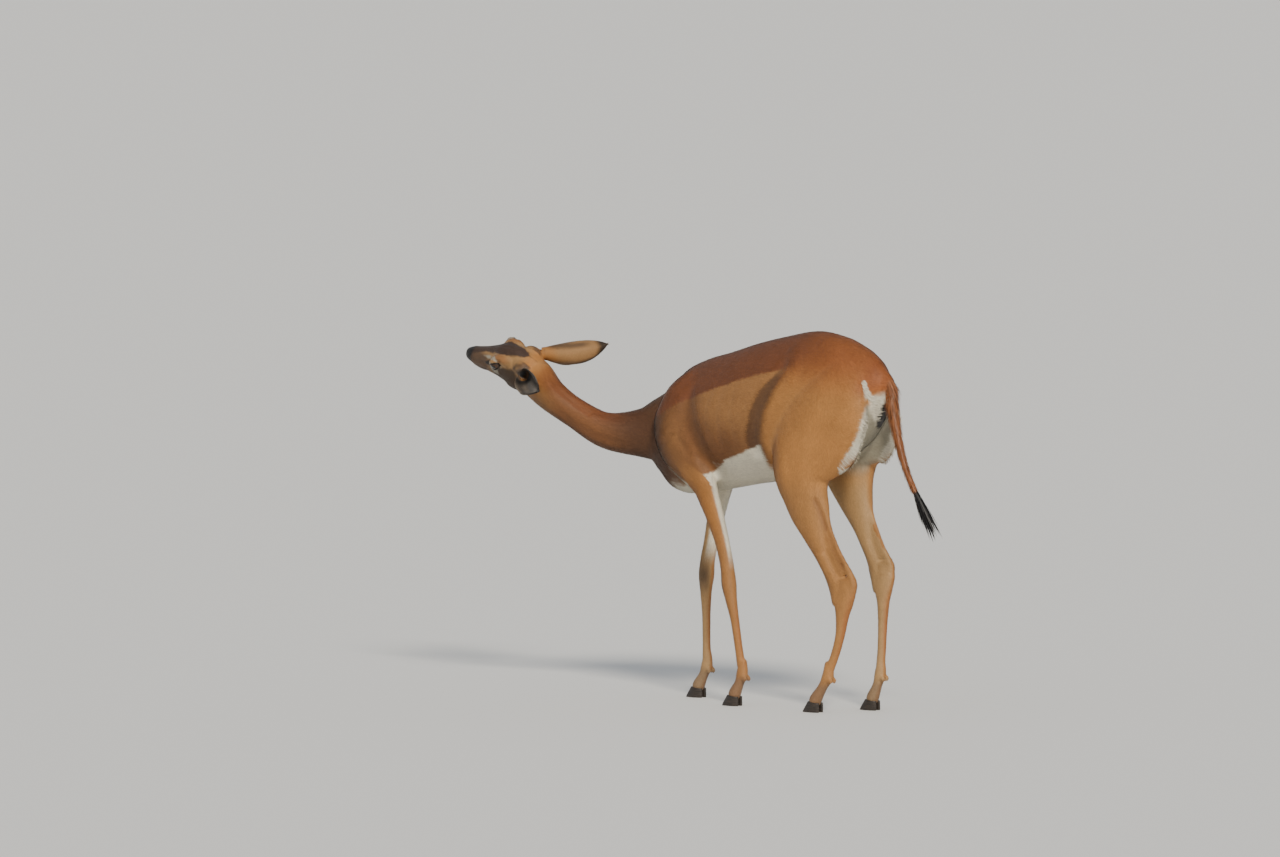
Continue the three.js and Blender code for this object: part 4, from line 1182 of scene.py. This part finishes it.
def buildCoat(skin, material):
    print("coat: roots")
    roots, normals, draw = scatter(skin, coatDensity, seeds["coat"])
    ways = lieOfCoat(roots, normals)
    turn = draw.normal(0, 0.13, len(roots))
    ways = unit(ways + np.cross(normals, ways) * turn[:, None])
    h = inHead(roots)
    onHead = mound(np.linalg.norm(h - [20, 0, -28], axis=1), 230)
    onEar = np.max([earPlace(h, s)[3] for s in (-1, 1)], axis=0)
    earAlong = np.zeros_like(roots)
    for s in (-1, 1):
        here = earPlace(h, s)[3] > 0
        earAlong[here] = earWays(s)[0] @ headAxes
    pick = onEar > 0
    ways[pick] = unit(earAlong[pick] - (earAlong[pick] * normals[pick]).sum(1)[:, None] * normals[pick])
    size = 1 - 0.66 * smooth(0.05, 0.6, onHead)
    size = np.minimum(size, np.where(pick, 0.42, 1))
    size *= 1 - 0.45 * (1 - smooth(100, 420, roots[:, 2]))
    size *= np.where(h[:, 0] > 60, 0.75, 1)
    lengths = coat["length"] * size * draw.uniform(0.75, 1.25, len(roots))
    widths = coat["width"] * (0.35 + 0.65 * size) * draw.uniform(0.7, 1.2, len(roots))
    widths = widths * 1
    lifts = coat["lift"] * size * draw.uniform(0.4, 1.4, len(roots))
    colours = coatColour(roots, normals) * draw.uniform(0.86, 1.14, len(roots))[:, None]
    part = coatPart(roots)
    print("coat: blades", len(roots))
    made, limit = [], 60000
    for name in sorted(set(part)):
        here = np.nonzero(part == name)[0]
        for k in range(0, len(here), limit):
            some = here[k:k + limit]
            label = f"coat_{name}" if len(here) <= limit else f"coat_{name}_{k // limit + 1}"
            made.append(hairMesh(label, roots[some], normals[some], ways[some], lengths[some], widths[some],
                                 lifts[some], colours[some]))
    for piece in made:
        dress(piece, material)
    print("coat:", {piece.name: len(piece.data.polygons) for piece in made})
    return made


def coatPart(points):
    which = nearestSpine(points)[0]
    names = np.array([spine[0] for spine in spines])[which].astype(object)
    h = inHead(points)
    for s in (-1, 1):
        names[earPlace(h, s)[3] > 0] = "ears"
    names[np.isin(names, ["hindLeft", "hindRight"])] = "hindlegs"
    names[np.isin(names, ["foreLeft", "foreRight"])] = "forelegs"
    return names


def dress(piece, material, replaced=()):
    piece.data.materials.clear()
    piece.data.materials.append(material)
    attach(piece, "root")
    if replaced:
        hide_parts(*replaced)


# Long hair: tassel of the tail, its fringe, and the white fringes of the rump

tassel = {"locks": 190, "length": (46, 104), "width": 4.2, "from": 590}
tailFringe = {"hairs": 2400, "top": 868, "length": [(600, 22), (760, 34), (860, 46)], "width": 1.9}
rumpHair = {"length": (11, 20), "width": (1.0, 1.8)}
lash = {"hairs": 46, "length": (5, 8), "width": 0.8}


def longHair(material):
    print("long hair")
    draw = np.random.RandomState(seeds["tuft"])
    line, lineWays = smoothLine([row[:3] for row in dock["rows"]], 12)
    radii = smoothLine(np.array([row[3] for row in dock["rows"]], float)[:, None], 12, even=True)[0][:, 0]
    low = np.nonzero(line[:, 2] < tassel["from"])[0]
    pick = low[(draw.rand(tassel["locks"]) ** 0.8 * (len(low) - 1)).astype(int)]
    tasselHair = ringHair("tail_tassel", line[pick], lineWays[pick], radii[pick], draw,
                          np.interp(draw.rand(len(pick)), [0, 1], tassel["length"]), tassel["width"], 0.16,
                          tone("black"), tone("black") * 1.6, (0, 0, -10), material, 5)
    mid = np.nonzero((line[:, 2] < tailFringe["top"]) & (line[:, 2] > tassel["from"]))[0]
    pick = mid[(draw.rand(tailFringe["hairs"]) ** 1.3 * (len(mid) - 1)).astype(int)]
    lengths = lineAt(tailFringe["length"], line[pick][:, 2]) * draw.uniform(0.6, 1.1, len(pick))
    fringe = ringHair("tail_fringe", line[pick], lineWays[pick], radii[pick], draw, lengths,
                      tailFringe["width"], 0.26, tone("tailHair"), tone("tailHair") * 1.15, (0, 0, -3),
                      material, 3)
    return [tasselHair, fringe]


def ringHair(name, spots, lineWays, radii, draw, lengths, width, spread, root, tip, sag, material, rows):
    count = len(spots)
    angle = draw.uniform(0, 2 * math.pi, count)
    side = unit(np.cross(lineWays, arr(0, 1, 0)))
    outward = np.cos(angle)[:, None] * side + np.sin(angle)[:, None] * np.cross(lineWays, side)
    roots = spots + outward * (radii * 0.75)[:, None]
    ways = unit(lineWays + outward * draw.uniform(0.02, spread, count)[:, None])
    normals = unit(outward - (outward * ways).sum(1)[:, None] * ways)
    shade = draw.uniform(0.75, 1.25, count)[:, None]
    widths = width * draw.uniform(0.6, 1.2, count)
    hang = np.array(sag, float)[None] * draw.uniform(0.4, 1.6, count)[:, None]
    made = hairMesh(name, roots, normals, ways, lengths, widths, np.full(count, 1.2), root[None] * shade,
                    hang, rows, tip[None] * shade)
    dress(made, material)
    return made


def rumpFringes(skin, material):  # white hairs beside the root of the tail and along the buttocks
    def density(p):
        out = np.abs(p[:, 1])
        edge = mound(np.abs(p[:, 0] - lineAt(rumpEdge, p[:, 2]) - 7), 8)
        edge = edge * (p[:, 2] > 640) * (p[:, 2] < 830)
        beside = (lineDistance(p[:, [0, 2]], rumpStreak) < 3) * (out > 30) * (out < 86)
        return edge * 0.09 * (out > 20) * (p[:, 0] > 180) + beside * 0.16
    roots, normals, draw = scatter(skin, density, seeds["fringe"])
    count = len(roots)
    ways = lieOfCoat(roots, normals) + arr(0.3, 0, -0.6) + normals * 0.35
    beside = smooth(820, 835, roots[:, 2])[:, None]
    ways = unit(ways + beside * np.sign(roots[:, 1:2]) * arr(0, 0.5, 0))
    ways = unit(ways - (ways * normals).sum(1)[:, None] * normals * 0.7)
    colours = tone("white")[None] * draw.uniform(0.85, 1.08, count)[:, None]
    lengths = draw.uniform(*rumpHair["length"], count) * (1 - 0.3 * beside[:, 0])
    widths = draw.uniform(*rumpHair["width"], count)
    lifts = draw.uniform(0.8, 2.2, count)
    hang = arr(1.5, 0, -3.0)[None] * draw.rand(count, 1)
    made = hairMesh("rump_fringe", roots, normals, ways, lengths, widths, lifts, colours, hang, 3)
    dress(made, material)
    return made


def lashes(material):
    draw = np.random.RandomState(seeds["lash"])
    made = []
    for side, word in ((-1, "right"), (1, "left")):
        t = np.linspace(0.06, 0.94, lash["hairs"])
        (backA, backB), (frontA, frontB) = face["corners"]
        a = backA + (frontA - backA) * t
        b = backB + (frontB - backB) * t + face["upper"] * (4 * t * (1 - t)) ** 0.62 + 0.6
        reach = eyes["radius"] + face["lidThick"]
        out = np.sqrt(np.maximum(1 - (a ** 2 + b ** 2) / eyes["radius"] ** 2, 0.02))
        way = unit(np.stack([a / eyes["radius"], side * out, b / eyes["radius"]], 1))
        roots = fromHead(way * reach + [eyes["forward"], side * eyes["apart"] / 2, eyes["above"]])
        normals = unit(way @ headAxes)
        ways = unit(way + np.array([[-0.1, side * 0.5, -0.25]])) @ headAxes
        normals = unit(np.cross(ways, np.cross(normals, ways)))
        shade = np.repeat(tone("black")[None], len(t), 0)
        lengths = draw.uniform(*lash["length"], len(t))
        hang = (crownWay * -3)[None] * np.ones((len(t), 1))
        blades = hairMesh(f"lashes_{word}", roots - ways * 1.5, normals, ways, lengths,
                          np.full(len(t), lash["width"]), np.full(len(t), 0.4), shade, hang, 3)
        dress(blades, material)
        made.append(blades)
    return made


# Eyes

def eyeBall(side, word, material):
    work = bmesh.new()
    bmesh.ops.create_uvsphere(work, u_segments=56, v_segments=40, radius=1)
    points = np.array([v.co for v in work.verts])
    faces = [tuple(v.index for v in f.verts) for f in work.faces]
    work.free()
    outward = unit(arr(0.10, side, 0.02))
    facing = points @ outward
    level = points @ arr(1, 0, 0)
    rise = points @ arr(0, 0, 1)
    iris = smooth(0.52, 0.60, facing)
    pupil = smooth(1.06, 0.94, np.hypot(level / 0.52, rise / 0.30)) * (facing > 0)
    rings = 1 + 0.22 * np.sin(np.arctan2(rise, level) * 23)
    colour = np.repeat(arr(0.050, 0.033, 0.025)[None], len(points), 0)
    irisColour = arr(0.060, 0.026, 0.010)[None] * rings[:, None]
    colour = colour * (1 - iris[:, None]) + irisColour * iris[:, None]
    colour = colour * (1 - pupil[:, None]) + arr(0.004, 0.004, 0.006) * pupil[:, None]
    bulge = 1 + 0.035 * smooth(0.55, 0.95, facing)
    place = arr(eyes["forward"], side * eyes["apart"] / 2, eyes["above"])
    shape = fromHead(points * bulge[:, None] * (eyes["radius"] - 0.1) + place)
    made = newObject(f"eyeball_{word}", toWorld(shape), faces)
    setColour(made, colour)
    shadeSmooth(made)
    dress(made, material, [f"eye_{word}"])
    return made


# Claws of the hooves

claw = {"length": 50, "width": 17, "height": 29, "split": 2.4, "back": 9}


def clawPiece(name, middle, way, material):
    sides, rows = 44, 16
    levels = np.linspace(0, 1, rows)
    long = np.interp(levels, [0, 0.12, 0.5, 1], [0.5, 0.505, 0.43, 0.33])
    wide = np.interp(levels, [0, 0.12, 0.5, 1], [0.47, 0.5, 0.5, 0.48])
    slide = np.interp(levels, [0, 0.12, 0.5, 1], [0, 0.01, 0.08, 0.17])
    angle = 2 * math.pi * np.arange(sides) / sides
    cosine, sine = np.cos(angle), np.sin(angle)
    toe = 1 - 0.34 * np.maximum(0, cosine) ** 1.5
    flat = np.where(way * sine < 0, 0.72, 1)
    rings = []
    for k in range(rows):
        growth = 1 - 0.012 * math.cos(levels[k] * 34)
        rings.append(np.stack([
            middle[0] - claw["length"] * long[k] * growth * cosine + claw["length"] * slide[k],
            middle[1] + claw["width"] * wide[k] * growth * toe * flat * sine + way * cosine * 1.5,
            levels[k] * claw["height"] - (2.5 * (1 - cosine) * levels[k] ** 3)], 1))
    rings = np.array(rings)
    base, top = rings[0], rings[-1]
    rings = [base * 0.9 + base.mean(0) * 0.1, *rings, top * 0.9 + top.mean(0) * 0.1]
    points, faces = closed(rings, ringFaces(len(rings), sides), sides)
    made = newObject(name, toWorld(points), faces)
    faceOut(made)
    shadeSmooth(made)
    dress(made, material, [name.replace("claw", "hoof")])
    return made


def claws(material):
    made = []
    for word, (side, _, coronet, _) in legs["chains"].items():
        base = word.replace("Left", "_left").replace("Right", "_right")
        for way in (-1, 1):
            which = "outer" if way == side else "inner"
            middle = (coronet[0] - claw["back"], coronet[1] + way * (claw["width"] + claw["split"]) / 2)
            made.append(clawPiece(f"claw_{base}_{which}", middle, way, material))
    return made


# Floor, lights and camera

studio = {"floor": (0.74, 0.73, 0.70), "sun": 3.4, "fill": 0.62, "sky": (0.80, 0.85, 0.92)}
view = {"azimuth": 38.0, "elevation": 4.0, "distance": 25000, "focal": 25000 / 2.6, "frame": (1280, 857),
        "anchor": (250, 65, 12), "anchorPixel": (879, 706), "middle": (640, 428.5)}


def floor():
    made = newObject("floor", [(-90, -90, 0), (90, -90, 0), (90, 160, 0), (-90, 160, 0)], [(0, 1, 2, 3)])
    material, nodes, links, shader = newMaterial("floorPaint")
    grain = nodes.new("ShaderNodeTexNoise")
    grain.inputs["Scale"].default_value = 3
    links.new(spreadNode(nodes, links, grain, 0.72, 0.80), shader.inputs["Roughness"])
    shader.inputs["Base Color"].default_value = (*studio["floor"], 1)
    made.data.materials.append(material)


def lights():
    sun = bpy.data.lights.new("sun", "SUN")
    sun.energy = studio["sun"]
    sun.angle = math.radians(12)
    sun.color = (1.0, 0.93, 0.82)
    made = bpy.data.objects.new("sun", sun)
    towards = Vector((-0.62, 0.52, -0.60))
    made.rotation_mode = "QUATERNION"
    made.rotation_quaternion = towards.to_track_quat("-Z", "Y")
    bpy.context.scene.collection.objects.link(made)
    world = bpy.data.worlds.new("studio")
    world.use_nodes = True
    world.node_tree.nodes["Background"].inputs["Color"].default_value = (*studio["sky"], 1)
    world.node_tree.nodes["Background"].inputs["Strength"].default_value = studio["fill"]
    bpy.context.scene.world = world


def camera():
    a, e = math.radians(view["azimuth"]), math.radians(view["elevation"])
    back = arr(math.sin(a) * math.cos(e), -math.cos(a) * math.cos(e), math.sin(e))
    right = arr(math.cos(a), math.sin(a), 0)
    up = np.cross(back, right)
    across = (view["anchorPixel"][0] - view["middle"][0]) / view["focal"]
    above = (view["middle"][1] - view["anchorPixel"][1]) / view["focal"]
    place = arr(*view["anchor"]) + view["distance"] * (back - right * across - up * above)
    lens = bpy.data.cameras.new("camera")
    lens.sensor_width = 36
    lens.lens = 36 * view["focal"] / view["frame"][0]
    lens.clip_end = 400
    made = bpy.data.objects.new("camera", lens)
    made.location = toWorld(place)
    made.rotation_mode = "QUATERNION"
    made.rotation_quaternion = Vector(-back).to_track_quat("-Z", "Y")
    bpy.context.scene.collection.objects.link(made)
    bpy.context.scene.camera = made


# Making

camera()
lights()
floor()
skin = buildSkin()
skinSpots, skinNormals = spotsOf(skin), normalsOf(skin)
print("markings")
setColour(skin, coatColour(skinSpots, skinNormals) * 0.92)
setLie(skin, lieSpace(skinSpots)[3])
shadeSmooth(skin)
skinMaterial = coatMaterial("skinCoat", 0.62, 0.5, 700)
hairMaterial = coatMaterial("hairCoat", 0.58, 0.1, 300)
longMaterial = coatMaterial("longHair", 0.46, 0.2, 400)
flesh = ["torso", "neck", "head", "ear_left", "ear_right", "tail", "hindleg_left", "hindleg_right",
         "foreleg_left", "foreleg_right"]
dress(skin, skinMaterial, flesh)
buildCoat(skin, hairMaterial)
longHair(longMaterial)
rumpFringes(skin, hairMaterial)
lashes(longMaterial)
eyeShine = eyeMaterial()
for eyeSide, eyeWord in ((-1, "right"), (1, "left")):
    eyeBall(eyeSide, eyeWord, eyeShine)
claws(hornMaterial())
